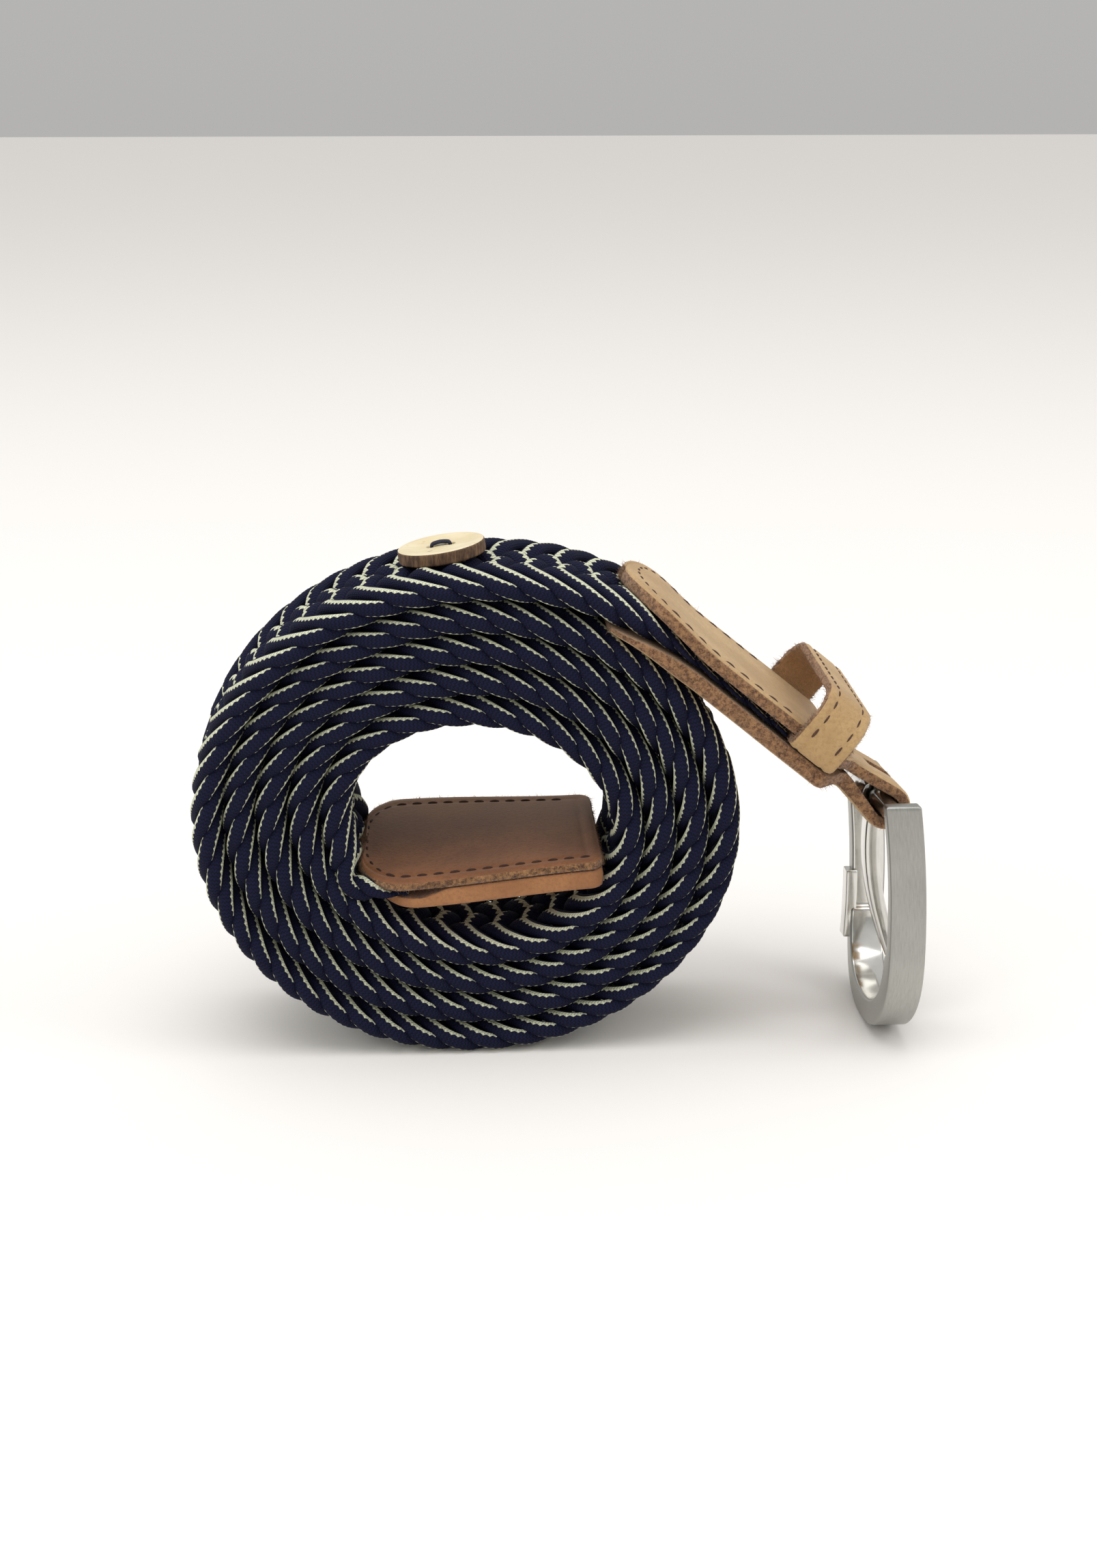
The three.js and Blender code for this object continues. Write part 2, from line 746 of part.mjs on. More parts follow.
for (const [name, geometry, color, roughness] of [
  ["button", buttonGeometry, coconut, 0.5],
  ["button_thread", toGeometry(toSolid(threadGeometry)), navy, 0.9],
]) {
  const mesh = addPiece(name, geometry, color, roughness);
  mesh.position
    .copy(spiral.getPoint(buttonShare))
    .addScaledVector(seatNormal, braidThickness / 2 + seatGap);
  mesh.setRotationFromMatrix(
    new THREE.Matrix4().makeBasis(buttonTangent, new THREE.Vector3(0, 1, 0), buttonNormal),
  );
}

export default belt;
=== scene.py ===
import bpy
import numpy as np
from mathutils import Matrix, Vector


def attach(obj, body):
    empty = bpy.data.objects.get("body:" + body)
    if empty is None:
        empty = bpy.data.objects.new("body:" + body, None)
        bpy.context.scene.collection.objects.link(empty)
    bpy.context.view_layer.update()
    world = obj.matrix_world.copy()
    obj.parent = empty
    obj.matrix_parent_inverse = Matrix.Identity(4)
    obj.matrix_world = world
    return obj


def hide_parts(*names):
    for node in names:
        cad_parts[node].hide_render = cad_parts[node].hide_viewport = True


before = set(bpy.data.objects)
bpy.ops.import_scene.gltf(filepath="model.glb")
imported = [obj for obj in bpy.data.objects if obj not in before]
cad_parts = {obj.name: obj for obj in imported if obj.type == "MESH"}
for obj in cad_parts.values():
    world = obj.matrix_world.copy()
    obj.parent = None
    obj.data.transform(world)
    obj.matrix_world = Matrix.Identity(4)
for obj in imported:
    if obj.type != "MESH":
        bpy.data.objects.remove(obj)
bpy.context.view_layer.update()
metre = 0.001  # the values below are in millimetres


def towards(degrees):
    angle = np.radians(degrees)
    return np.array([np.cos(angle), 0.0, np.sin(angle)])


def unit(vectors):
    return vectors / np.linalg.norm(vectors, axis=-1, keepdims=True)


def smoothStep(value, low, high):
    share = np.clip((value - low) / (high - low), 0.0, 1.0)
    return share * share * (3.0 - 2.0 * share)


def mix(first, second, share):
    return first + (second - first) * share


def evenSteps(low, high, step):
    return np.linspace(low, high, max(2, int(np.ceil((high - low) / step)) + 1))


# Length along a path up to each of its points
def runningLength(points):
    return np.concatenate([[0.0], np.cumsum(np.linalg.norm(np.diff(points, axis=0), axis=1))])


# Values at places along a path, one column at a time
def sample(where, length, values):
    return np.stack([np.interp(where, length, values[:, k]) for k in range(values.shape[1])], -1)


# A circle for each row, in the plane of two directions
def circles(first, second, sides):
    theta = 2.0 * np.pi * np.arange(sides)[None, :, None] / sides
    return first[:, None] * np.cos(theta) + second[:, None] * np.sin(theta)


# A cubic curve: (1-t)^3 a + 3 (1-t)^2 t b + 3 (1-t) t^2 c + t^3 d
def cubic(a, b, c, d, count):
    t = np.linspace(0.0, 1.0, count)[:, None]
    return (1 - t) ** 3 * a + 3 * (1 - t) ** 2 * t * b + 3 * (1 - t) * t ** 2 * c + t ** 3 * d


# Many small tubes, each of rows rings with sides corners: their quads and the first and last ring
def manyTubes(count, rows, sides):
    ids = np.arange(count * rows * sides).reshape(count, rows, sides)
    wrapped = np.roll(ids, -1, axis=2)
    quads = np.stack([ids[:, :-1], wrapped[:, :-1], wrapped[:, 1:], ids[:, 1:]], -1).reshape(-1, 4)
    caps = np.concatenate([ids[:, 0, ::-1], ids[:, -1]])
    return [(quads, None, 0), (caps, None, 0)]


# A piece from a list of face groups: the corners' vertex numbers, their UV and the material's number.
def newPiece(name, points, groups, materials, body, replaced=()):
    volume = 0.0
    for faces, uv, material in groups:
        for second in range(1, faces.shape[1] - 1):
            a, b, c = points[faces[:, 0]], points[faces[:, second]], points[faces[:, second + 1]]
            volume += float(np.einsum("ij,ij->i", a, np.cross(b, c)).sum())
    if volume < 0:  # the faces point inwards, so every one is turned over
        groups = [(f[:, ::-1], None if uv is None else uv[:, ::-1], m) for f, uv, m in groups]
    corners = []
    for faces, uv, material in groups:
        corners.extend(faces.tolist())
    mesh = bpy.data.meshes.new(name)
    mesh.from_pydata((points * metre).tolist(), [], corners)
    numbers = np.concatenate([np.broadcast_to(m, len(f)) for f, uv, m in groups])
    mesh.polygons.foreach_set("material_index", numbers.astype(np.int32))
    mesh.polygons.foreach_set("use_smooth", np.ones(len(numbers), bool))
    if all(uv is not None for f, uv, m in groups):
        layer = mesh.uv_layers.new(name="UVMap")
        flat = np.concatenate([uv.reshape(-1, 2) for f, uv, m in groups])
        layer.data.foreach_set("uv", flat.astype(np.float32).ravel())
    for material in materials:
        mesh.materials.append(material)
    mesh.update()
    piece = bpy.data.objects.new(name, mesh)
    bpy.context.scene.collection.objects.link(piece)
    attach(piece, body)
    if replaced:
        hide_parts(*replaced)


# Faces of a tube: quads between neighbouring rings, and a fan round a middle point at each end.
# around runs 0 to 1 about the section, moved by shift, and alongLength is the length in millimetres.
def tubeGroups(rows, columns, alongLength, shift=None, material=0):
    ids = np.arange(rows * columns).reshape(rows, columns)
    wrapped = np.roll(ids, -1, axis=1)
    quads = np.stack([ids[:-1], wrapped[:-1], wrapped[1:], ids[1:]], -1).reshape(-1, 4)
    around = np.arange(columns + 1) / columns
    u = around[None, :] + (np.zeros((rows, 1)) if shift is None else shift)
    v = np.repeat(alongLength[:, None], columns + 1, axis=1)
    uv = np.stack([u, v], -1)
    corners = [uv[:-1, :-1], uv[:-1, 1:], uv[1:, 1:], uv[1:, :-1]]
    quadUv = np.stack(corners, 2).reshape(-1, 4, 2)
    first = rows * columns
    startFan = np.stack([np.full(columns, first), wrapped[0], ids[0]], -1)
    endFan = np.stack([np.full(columns, first + 1), ids[-1], wrapped[-1]], -1)
    startUv = np.stack([uv[0, :-1], uv[0, 1:], uv[0, :-1]], 1)
    endUv = np.stack([uv[-1, :-1], uv[-1, :-1], uv[-1, 1:]], 1)
    return [(quads, quadUv, material), (startFan, startUv, material), (endFan, endUv, material)]


def tubePoints(rings):
    ends = np.stack([rings[0].mean(0), rings[-1].mean(0)])
    return np.concatenate([rings.reshape(-1, 3), ends])


# Node helpers

def addNode(tree, kind, inputs=None, **settings):
    made = tree.nodes.new(kind)
    for key, value in settings.items():
        setattr(made, key, value)
    for key, value in (inputs or {}).items():
        if isinstance(value, bpy.types.NodeSocket):
            tree.links.new(value, made.inputs[key])
        else:
            made.inputs[key].default_value = value
    return made


def maths(tree, operation, first, second=0.0):
    return addNode(tree, "ShaderNodeMath", {0: first, 1: second}, operation=operation).outputs[0]


def ramp(tree, value, low, high, fromValue=0.0, toValue=1.0):
    inputs = {"Value": value, "From Min": low, "From Max": high, "To Min": fromValue, "To Max": toValue}
    return addNode(tree, "ShaderNodeMapRange", inputs, interpolation_type="SMOOTHSTEP").outputs[0]


def blendColors(tree, share, first, second):
    made = addNode(tree, "ShaderNodeMix", data_type="RGBA")
    for index, value in ((0, share), (6, first), (7, second)):
        if isinstance(value, bpy.types.NodeSocket):
            tree.links.new(value, made.inputs[index])
        else:
            made.inputs[index].default_value = value if index == 0 else (*value, 1.0)
    return made.outputs[2]


def noise(tree, vector, scale, detail=3.0, roughness=0.6):
    inputs = {"Vector": vector, "Scale": scale, "Detail": detail, "Roughness": roughness}
    return addNode(tree, "ShaderNodeTexNoise", inputs).outputs["Fac"]


def newMaterial(name, roughness, metallic=0.0, sheen=0.0):
    material = bpy.data.materials.new(name)
    material.use_nodes = True
    tree = material.node_tree
    shader = tree.nodes["Principled BSDF"]
    shader.inputs["Roughness"].default_value = roughness
    shader.inputs["Metallic"].default_value = metallic
    shader.inputs["Sheen Weight"].default_value = sheen
    return material, tree, shader


def addBump(tree, shader, height, depth):
    bump = addNode(tree, "ShaderNodeBump", {"Height": height, "Distance": depth * metre})
    tree.links.new(bump.outputs[0], shader.inputs["Normal"])


def objectPlace(tree):
    return addNode(tree, "ShaderNodeTexCoord").outputs["Object"]


print("camera, floor and light")

studio = {
    "imageHeight": 2296,
    "sensorHeight": 36.0,
    "cameraAt": (-9.4, -412.3, 183.5),
    "cameraYaw": 3.26,  # degrees, turned towards +X
    "cameraDown": 18.28,
    "focalPixels": 3400.0,
    "floorHalf": 3500.0,
    "floorColor": (0.93, 0.905, 0.88),
    "worldLow": 0.45,
    "worldHigh": 0.77,
    "worldColor": (1.0, 0.99, 0.975),
    "lamps": (  # name, place, target, size and power
        ("softboxAbove", (-150, -150, 1300), (0, 0, 0), 1100, 7.3),
        ("softboxLeft", (-1100, -500, 700), (0, 0, 40), 700, 3.2),
        ("softboxRight", (1100, -300, 800), (40, 0, 40), 700, 3.2),
    ),
}


def buildStudio(v):
    camera = bpy.data.cameras.new("camera")
    camera.sensor_fit = "VERTICAL"
    camera.sensor_height = v["sensorHeight"]
    camera.lens = v["focalPixels"] / v["imageHeight"] * v["sensorHeight"]
    camera.clip_start = 0.05
    camera.clip_end = 50.0
    eye = bpy.data.objects.new("camera", camera)
    bpy.context.scene.collection.objects.link(eye)
    yaw, down = np.radians([v["cameraYaw"], v["cameraDown"]])
    ahead = np.array([np.sin(yaw) * np.cos(down), np.cos(yaw) * np.cos(down), -np.sin(down)])
    right = np.array([np.cos(yaw), -np.sin(yaw), 0.0])
    columns = np.stack([right, np.cross(right, ahead), -ahead], 1)
    place = Matrix(columns.tolist()).to_4x4()
    place.translation = Vector(v["cameraAt"]) * metre
    eye.matrix_world = place
    bpy.context.scene.camera = eye

    half = v["floorHalf"]
    corners = np.array([[-half, -half, 0], [half, -half, 0], [half, half, 0], [-half, half, 0]], float)
    mesh = bpy.data.meshes.new("floor")
    mesh.from_pydata((corners * metre).tolist(), [], [[0, 1, 2, 3]])
    floor = bpy.data.objects.new("floor", mesh)
    bpy.context.scene.collection.objects.link(floor)
    material, tree, shader = newMaterial("paleFloor", 0.9)
    shader.inputs["Base Color"].default_value = (*v["floorColor"], 1.0)
    shader.inputs["Specular IOR Level"].default_value = 0.1
    mesh.materials.append(material)

    world = bpy.data.worlds.new("studio")
    world.use_nodes = True
    bpy.context.scene.world = world
    tree = world.node_tree
    direction = addNode(tree, "ShaderNodeTexCoord").outputs["Generated"]
    height = addNode(tree, "ShaderNodeSeparateXYZ", {0: direction}).outputs["Z"]
    strength = ramp(tree, height, -0.1, 0.8, v["worldLow"], v["worldHigh"])
    background = tree.nodes["Background"]
    background.inputs["Color"].default_value = (*v["worldColor"], 1.0)
    tree.links.new(strength, background.inputs["Strength"])

    for name, place, target, size, power in v["lamps"]:
        lamp = bpy.data.lights.new(name, "AREA")
        lamp.size = size * metre
        lamp.energy = power
        holder = bpy.data.objects.new(name, lamp)
        holder.location = Vector(place) * metre
        aim = Vector(target) * metre - holder.location
        holder.rotation_euler = aim.to_track_quat("-Z", "Y").to_euler()
        bpy.context.scene.collection.objects.link(holder)
    bpy.context.scene.view_settings.view_transform = "Standard"


buildStudio(studio)

# The belt's centre line, from the tip's free end to the seam before the buckle
beltLine = {
    "rollMiddleZ": 43.9,
    "holeHalfWidth": 22.8,
    "holeHalfHeight": 17.2,
    "holeTilt": -14.0,
    "thickness": 5.2,
    "thicknessInTip": 1.2,
    "thicknessInStrap": 1.6,
    "tipMouthIn": 4.0,
    "tipMouthOut": 8.0,
    "strapMouthIn": 13.0,
    "strapMouthOut": 6.0,
    "turnGap": 0.5,
    "fullTurns": 4,
    "startAngle": 205.0,
    "leaveAngle": 95.0,
    "tipEndX": 23.0,
    "tipEndZ": 36.2,
    "tipRise": 3.0,
    "tipTwist": 8.0,
    "tipEndTwist": 2.5,
    "tipLength": 46.5,
    "tipRound": 10.0,
    "neckReach": 5.5,
    "reachOut": 22.0,
    "reachIn": 10.0,
    "strapX": 37.2,
    "strapZ": 76.5,
    "strapAngle": -39.3,
    "seamAt": 40.5,
    "foldTaper": 6.0,
    "frameRoll": 6.0,
    "twistFade": 6.0,
}


# A curve that leaves its start along one direction and comes to its end along another
def bendPoints(start, startWay, end, endWay, reachOut, reachIn, count):
    return cubic(start, start + startWay * reachOut, end - endWay * reachIn, end, count)


# The oval spiral: x = (half width + out) cos, z = (half height + out) sin, tilted less and less
def spiralPoints(v, share):
    turns = share * (v["fullTurns"] + (v["startAngle"] - v["leaveAngle"]) / 360.0)
    angle = np.radians(v["startAngle"] - 360.0 * turns)
    out = (v["thickness"] + v["turnGap"]) * turns + v["thickness"] / 2.0
    tilt = np.radians(v["holeTilt"]) * (1.0 - share)
    x = (v["holeHalfWidth"] + out) * np.cos(angle)
    z = (v["holeHalfHeight"] + out) * np.sin(angle)
    turnedX = x * np.cos(tilt) - z * np.sin(tilt)
    turnedZ = x * np.sin(tilt) + z * np.cos(tilt) + v["rollMiddleZ"]
    return np.stack([turnedX, 0 * x, turnedZ], -1)


def buildLine(v):
    tipEnd = np.array([v["tipEndX"], 0.0, v["tipEndZ"]])
    tipWay = towards(180.0 + v["tipRise"])
    neck = tipEnd + tipWay * (v["tipLength"] - v["tipRound"] / 2.0)
    strapWay = towards(v["strapAngle"])
    strapStart = np.array([v["strapX"], 0.0, v["strapZ"]])
    seam = strapStart + strapWay * v["seamAt"]
    spiral = spiralPoints(v, np.linspace(0.0, 1.0, 6000))
    wayIn = unit(spiral[1] - spiral[0])
    wayOut = unit(spiral[-1] - spiral[-2])
    straight = np.linspace(0.0, 1.0, 120)[:, None]
    stretches = [
        tipEnd + (neck - tipEnd) * straight,
        bendPoints(neck, tipWay, spiral[0], wayIn, v["neckReach"], v["neckReach"], 160),
        spiral,
        bendPoints(spiral[-1], wayOut, strapStart, strapWay, v["reachOut"], v["reachIn"], 300),
        strapStart + (seam - strapStart) * straight,
    ]
    marks = []
    length = 0.0
    for stretch in stretches:
        length += np.linalg.norm(np.diff(stretch, axis=0), axis=1).sum()
        marks.append(length)
    points = np.concatenate([stretches[0]] + [stretch[1:] for stretch in stretches[1:]])
    distance = runningLength(points)
    tangent = unit(np.gradient(points, distance, axis=0))
    return {
        "points": points,
        "distance": distance,
        "tangent": tangent,
        "rollStart": marks[1],
        "rollEnd": marks[2],
        "strapStart": marks[3],
        "length": marks[4],
        "seam": seam,
        "strapPoint": strapStart,
    }


line = buildLine(beltLine)
print("centre line", round(line["length"], 1), "mm")


# Point, outward direction, direction across and fall across of the belt at distances along it
def beltFrames(distance):
    v = beltLine
    point = sample(distance, line["distance"], line["points"])
    tangent = unit(sample(distance, line["distance"], line["tangent"]))
    normal = np.stack([-tangent[:, 2], 0 * distance, tangent[:, 0]], -1)
    straightTip = v["tipLength"] - v["tipRound"]
    twisted = mix(v["tipEndTwist"], v["tipTwist"], smoothStep(distance, 0.0, straightTip))
    eased = 1.0 - smoothStep(distance, straightTip, line["rollStart"] + v["twistFade"])
    twist = np.radians(twisted * eased)[:, None]
    across = np.array([0.0, 1.0, 0.0])
    side = across * np.cos(twist) - normal * np.sin(twist)
    up = normal * np.cos(twist) + across * np.sin(twist)
    nearFold = smoothStep(distance, line["length"] - v["foldTaper"], line["length"])
    fall = np.tan(np.radians(v["frameRoll"])) * nearFold
    return point, up, side, fall


# Thickness of the braid: squeezed where leather is sewn over it
def braidThickness(distance):
    v = beltLine
    afterTip = smoothStep(distance, v["tipLength"] - v["tipMouthIn"], v["tipLength"] + v["tipMouthOut"])
    strapStart = line["strapStart"]
    inStrap = smoothStep(distance, strapStart - v["strapMouthIn"], strapStart + v["strapMouthOut"])
    lessInTip = (v["thickness"] - v["thicknessInTip"]) * (1.0 - afterTip)
    return v["thickness"] - lessInTip - (v["thickness"] - v["thicknessInStrap"]) * inStrap


print("cords of the braid")

cordValues = {
    "count": 9,
    "repeat": 52.2,  # length of belt in which a cord goes across and back
    "halfSpread": 15.9,
    "cornering": 0.6,  # towards 1 the cords turn sharper at the belt's edges
    "lift": 1.35,
    "edgeLift": 1.45,  # share of the lift
    "edgeReach": 2.7,  # crossings
    "overAt": 4.0,  # the same, where a cord first lies on top
    "halfWidth": 2.15,
    "halfThickness": 1.5,
    "edgeHalfWidth": 1.6,
    "edgeHalfThickness": 1.4,
    "lensEndHalfThickness": 1.05,
    "thinnest": 0.3,  # share of the thickness that a squeezed cord keeps
    "besideTipFrom": 9.0,  # before the tip's end
    "besideTipTo": 3.0,
    "besideTipLength": 20.0,
    "nearEdgeFrom": 12.0,  # across the belt
    "nearEdgeTo": 15.0,
    "lensFrom": 2.0,  # crossings
    "lensTo": 3.4,
    "stripeMovesFrom": 6.0,  # across the belt
    "stripeMovesTo": 13.0,
    "floorClear": 0.02,
    "startAt": 35.5,
    "endIntoStrap": 24.2,
    "step": 0.6,
    "sides": 14,
    "stripeMiddle": 71.0,  # degrees of the stripe from the cord's flank, on both faces
    "stripeAtEdge": 109.0,  # the same where a cord goes round the near edge
    "stripeHalf": 17.0,
    "toothPitch": 1.1,
    "toothDepth": 22.0,
    "navy": (0.0075, 0.0090, 0.034),
    "navyShade": (0.0028, 0.003, 0.012),
    "cream": (0.70, 0.72, 0.54),
    "creamShade": (0.40, 0.41, 0.29),
}


def cordMaterial(v):
    material, tree, shader = newMaterial("braidedCord", 0.85)
    shader.inputs["Specular IOR Level"].default_value = 0.18
    uv = addNode(tree, "ShaderNodeUVMap", uv_map="UVMap").outputs[0]
    split = addNode(tree, "ShaderNodeSeparateXYZ", {0: uv})
    around, along = split.outputs["X"], split.outputs["Y"]
    # Degrees from the flank: 360 |fract(u + 1/4) - 1/2|
    turned = maths(tree, "FRACT", maths(tree, "ADD", around, 0.25))
    fromFlank = maths(tree, "MULTIPLY", maths(tree, "ABSOLUTE", maths(tree, "SUBTRACT", turned, 0.5)), 360.0)
    tooth = maths(tree, "PINGPONG", along, v["toothPitch"] / 2.0)
    teeth = maths(tree, "MULTIPLY", tooth, 2.0 * v["toothDepth"] / v["toothPitch"])
    # The stripe is straight on the flank's side and toothed on the other
    straight = maths(tree, "SUBTRACT", fromFlank, v["stripeMiddle"] - v["stripeHalf"])
    high = v["stripeMiddle"] + v["stripeHalf"] - v["toothDepth"] / 2.0
    toothed = maths(tree, "SUBTRACT", maths(tree, "ADD", teeth, high), fromFlank)
    room = maths(tree, "MINIMUM", straight, toothed)
    stripe = ramp(tree, room, -1.0, 1.0)
    place = objectPlace(tree)
    # Knitted grain: rows across the cord that lean one way and then the other
    lean = maths(tree, "PINGPONG", maths(tree, "MULTIPLY", around, 9.0), 0.5)
    phase = maths(tree, "ADD", maths(tree, "MULTIPLY", along, 2.0 / v["toothPitch"]), lean)
    rows = maths(tree, "SINE", maths(tree, "MULTIPLY", phase, 2.0 * np.pi))
    wales = maths(tree, "SINE", maths(tree, "MULTIPLY", around, 2.0 * np.pi * 18.0))
    fuzz = noise(tree, place, 2600.0, 2.0)
    shade = ramp(tree, maths(tree, "ADD", rows, maths(tree, "MULTIPLY", fuzz, 1.6)), -0.6, 1.6)
    navy = blendColors(tree, shade, v["navyShade"], v["navy"])
    cream = blendColors(tree, shade, v["creamShade"], v["cream"])
    tree.links.new(blendColors(tree, stripe, navy, cream), shader.inputs["Base Color"])
    height = maths(tree, "ADD", maths(tree, "MULTIPLY", rows, 0.5), maths(tree, "MULTIPLY", wales, 0.35))
    addBump(tree, shader, maths(tree, "ADD", height, fuzz), 0.07)
    return material


# A cord goes from edge to edge: across = -spread asin(q cos t) / asin(q), t one turn in each repeat.
# Counted in crossings from the last edge it is under at 1, 2 and 3 and over at 4. Round the edge it
# goes from front to back in one long slant: wave = -edgeLift sin(90 degrees crossings / edgeReach)
def cordCentre(v, distance, cord):
    turn = distance / v["repeat"] + cord / v["count"]
    q = v["cornering"]
    across = -v["halfSpread"] * np.arcsin(q * np.cos(2.0 * np.pi * turn)) / np.arcsin(q)
    crossing = np.mod(2.0 * v["count"] * turn, v["count"])
    before = crossing > v["count"] / 2.0
    fromEdge = np.where(before, v["count"] - crossing, crossing)
    share = np.minimum(fromEdge / v["edgeReach"], 1.0)
    rounding = -v["edgeLift"] * np.sin(np.pi / 2.0 * share)
    back = np.clip((fromEdge - v["edgeReach"]) / (v["overAt"] - v["edgeReach"]), 0.0, 1.0)
    rising = -v["edgeLift"] + (1.0 + v["edgeLift"]) * (1.0 - np.cos(np.pi * back)) / 2.0
    wave = np.where(fromEdge < v["overAt"], rising, -np.cos(np.pi * (fromEdge - 1.0)))
    wave = np.where(fromEdge < v["edgeReach"], rounding, wave)
    return across, np.where(before, -wave, wave), fromEdge


# Moves the stripes, which the material draws at one angle from the flank, to another angle
def stripeShift(v, columns, share):
    around = np.arange(columns + 1) / columns
    past = around > 0.75
    fromFlank = 0.25 - around + past
    drawn = v["stripeMiddle"] / 360.0
    wanted = mix(drawn, v["stripeAtEdge"] / 360.0, share)[:, None]
    angle = np.abs(fromFlank)[None, :]
    beyond = drawn + (angle - wanted) * (0.5 - drawn) / (0.5 - wanted)
    moved = np.where(angle < wanted, angle * drawn / wanted, beyond)
    return 0.25 - np.sign(fromFlank) * moved + past - around


def buildCords(v):
    material = cordMaterial(v)
    distance = evenSteps(v["startAt"], line["strapStart"] + v["endIntoStrap"], v["step"])
    point, up, side, fall = beltFrames(distance)
    tipLength = beltLine["tipLength"]
    tipOut = smoothStep(distance, tipLength - v["besideTipFrom"], tipLength - v["besideTipTo"])
    besideTip = mix(v["thinnest"], 1.0, tipOut)
    isBeside = distance < line["rollStart"] + v["besideTipLength"]
    afterTip = smoothStep(distance, tipLength - v["besideTipTo"], tipLength + v["besideTipTo"]) * isBeside
    for cord in range(v["count"]):
        across, wave, fromEdge = cordCentre(v, distance, cord)
        # Beside the tip's rounded end a cord on the near edge stays thick
        nearEdge = smoothStep(-across, v["nearEdgeFrom"], v["nearEdgeTo"]) * isBeside
        squeeze = np.maximum(braidThickness(distance) / beltLine["thickness"], besideTip * nearEdge)
        squeeze = np.maximum(squeeze, afterTip)
        centre = point + side * across[:, None] + up * (wave * v["lift"] * squeeze)[:, None]
        centre[:, 2] -= fall * across
        way = unit(np.gradient(centre, axis=0))
        out = unit(up - way * np.einsum("ij,ij->i", up, way)[:, None])
        flank = np.cross(out, way)
        atEdge = 1.0 - smoothStep(fromEdge, v["lensFrom"], v["lensTo"])
        halfWidth = mix(v["halfWidth"], v["edgeHalfWidth"], atEdge)
        toLensEnd = np.minimum(fromEdge / v["edgeReach"], 1.0) ** 2
        lens = mix(v["edgeHalfThickness"], v["lensEndHalfThickness"], toLensEnd)
        halfThickness = mix(v["halfThickness"], lens, atEdge) * np.maximum(squeeze, v["thinnest"])
        section = circles(out * halfThickness[:, None], flank * halfWidth[:, None], v["sides"])
        ring = centre[:, None] + section
        ring[:, :, 2] = np.maximum(ring[:, :, 2], v["floorClear"])
        shift = stripeShift(v, v["sides"], smoothStep(-across, v["stripeMovesFrom"], v["stripeMovesTo"]))
        groups = tubeGroups(len(distance), v["sides"], runningLength(centre), shift)
        newPiece(f"cord_{cord + 1}", tubePoints(ring), groups, [material], "root", ("braid",))


buildCords(cordValues)

# Leather sheets

# A sheet with an outer and an inner face on one grid, and walls round every border of the cells
# that are kept. raw is how far the walls bulge and how rough they are, from seeded noise.
def sheetPiece(name, outer, inner, keep, raw, materials, replaced, seed):
    rows, columns = outer.shape[:2]
    count = rows * columns
    ids = np.arange(count).reshape(rows, columns)
    a, b, c, d = ids[:-1, :-1], ids[1:, :-1], ids[1:, 1:], ids[:-1, 1:]
    top = np.stack([a, b, c, d], -1)[keep]
    bottom = top[:, ::-1] + count
    padded = np.pad(keep, 1)
    openLeft = keep & ~padded[1:-1, :-2]
    openRight = keep & ~padded[1:-1, 2:]
    openBefore = keep & ~padded[:-2, 1:-1]
    openAfter = keep & ~padded[2:, 1:-1]
    edges = np.concatenate([
        np.stack([a, b], -1)[openLeft],
        np.stack([b, c], -1)[openAfter],
        np.stack([c, d], -1)[openRight],
        np.stack([d, a], -1)[openBefore],
    ])
    points = np.concatenate([outer.reshape(-1, 3), inner.reshape(-1, 3)])
    through = unit(points[:count] - points[count:])
    along = points[edges[:, 1]] - points[edges[:, 0]]
    outward = np.cross(along, through[edges[:, 0]])
    outward = outward / np.maximum(np.linalg.norm(outward, axis=1, keepdims=True), 1e-9)
    away = np.zeros((count, 3))
    np.add.at(away, edges[:, 0], outward)
    np.add.at(away, edges[:, 1], outward)
    rim = np.unique(edges)
    slotOf = np.full(count, -1)
    slotOf[rim] = np.arange(len(rim))
    away = away[rim] / np.maximum(np.linalg.norm(away[rim], axis=1, keepdims=True), 1e-9)
    random = np.random.default_rng(seed)
    layers = 7
    bulge, rough = raw
    levels = [rim]
    extra = []
    for level in range(1, layers):
        share = level / layers
        base = points[rim] * (1 - share) + points[rim + count] * share
        push = bulge * np.sin(np.pi * share) + rough * random.normal(size=len(rim))
        extra.append(base + away * push[:, None])
        levels.append(2 * count + (level - 1) * len(rim) + np.arange(len(rim)))
    levels.append(rim + count)
    walls = []
    for upper, lower in zip(levels[:-1], levels[1:]):
        first, second = slotOf[edges[:, 0]], slotOf[edges[:, 1]]
        walls.append(np.stack([upper[second], upper[first], lower[first], lower[second]], -1))
    everything = np.concatenate([points] + extra)
    groups = [(top, None, 0), (bottom, None, 1), (np.concatenate(walls), None, 2)]
    used = np.unique(np.concatenate([faces.ravel() for faces, uv, m in groups]))
    renumber = np.full(len(everything), -1)
    renumber[used] = np.arange(len(used))
    groups = [(renumber[faces], uv, m) for faces, uv, m in groups]
    newPiece(name, everything[used], groups, materials, "root", replaced)
    rimMiddle = (points[rim] + points[rim + count]) / 2.0
    return {"middle": rimMiddle, "away": away, "through": points[rim] - points[rim + count]}


fibreRadius = 0.035


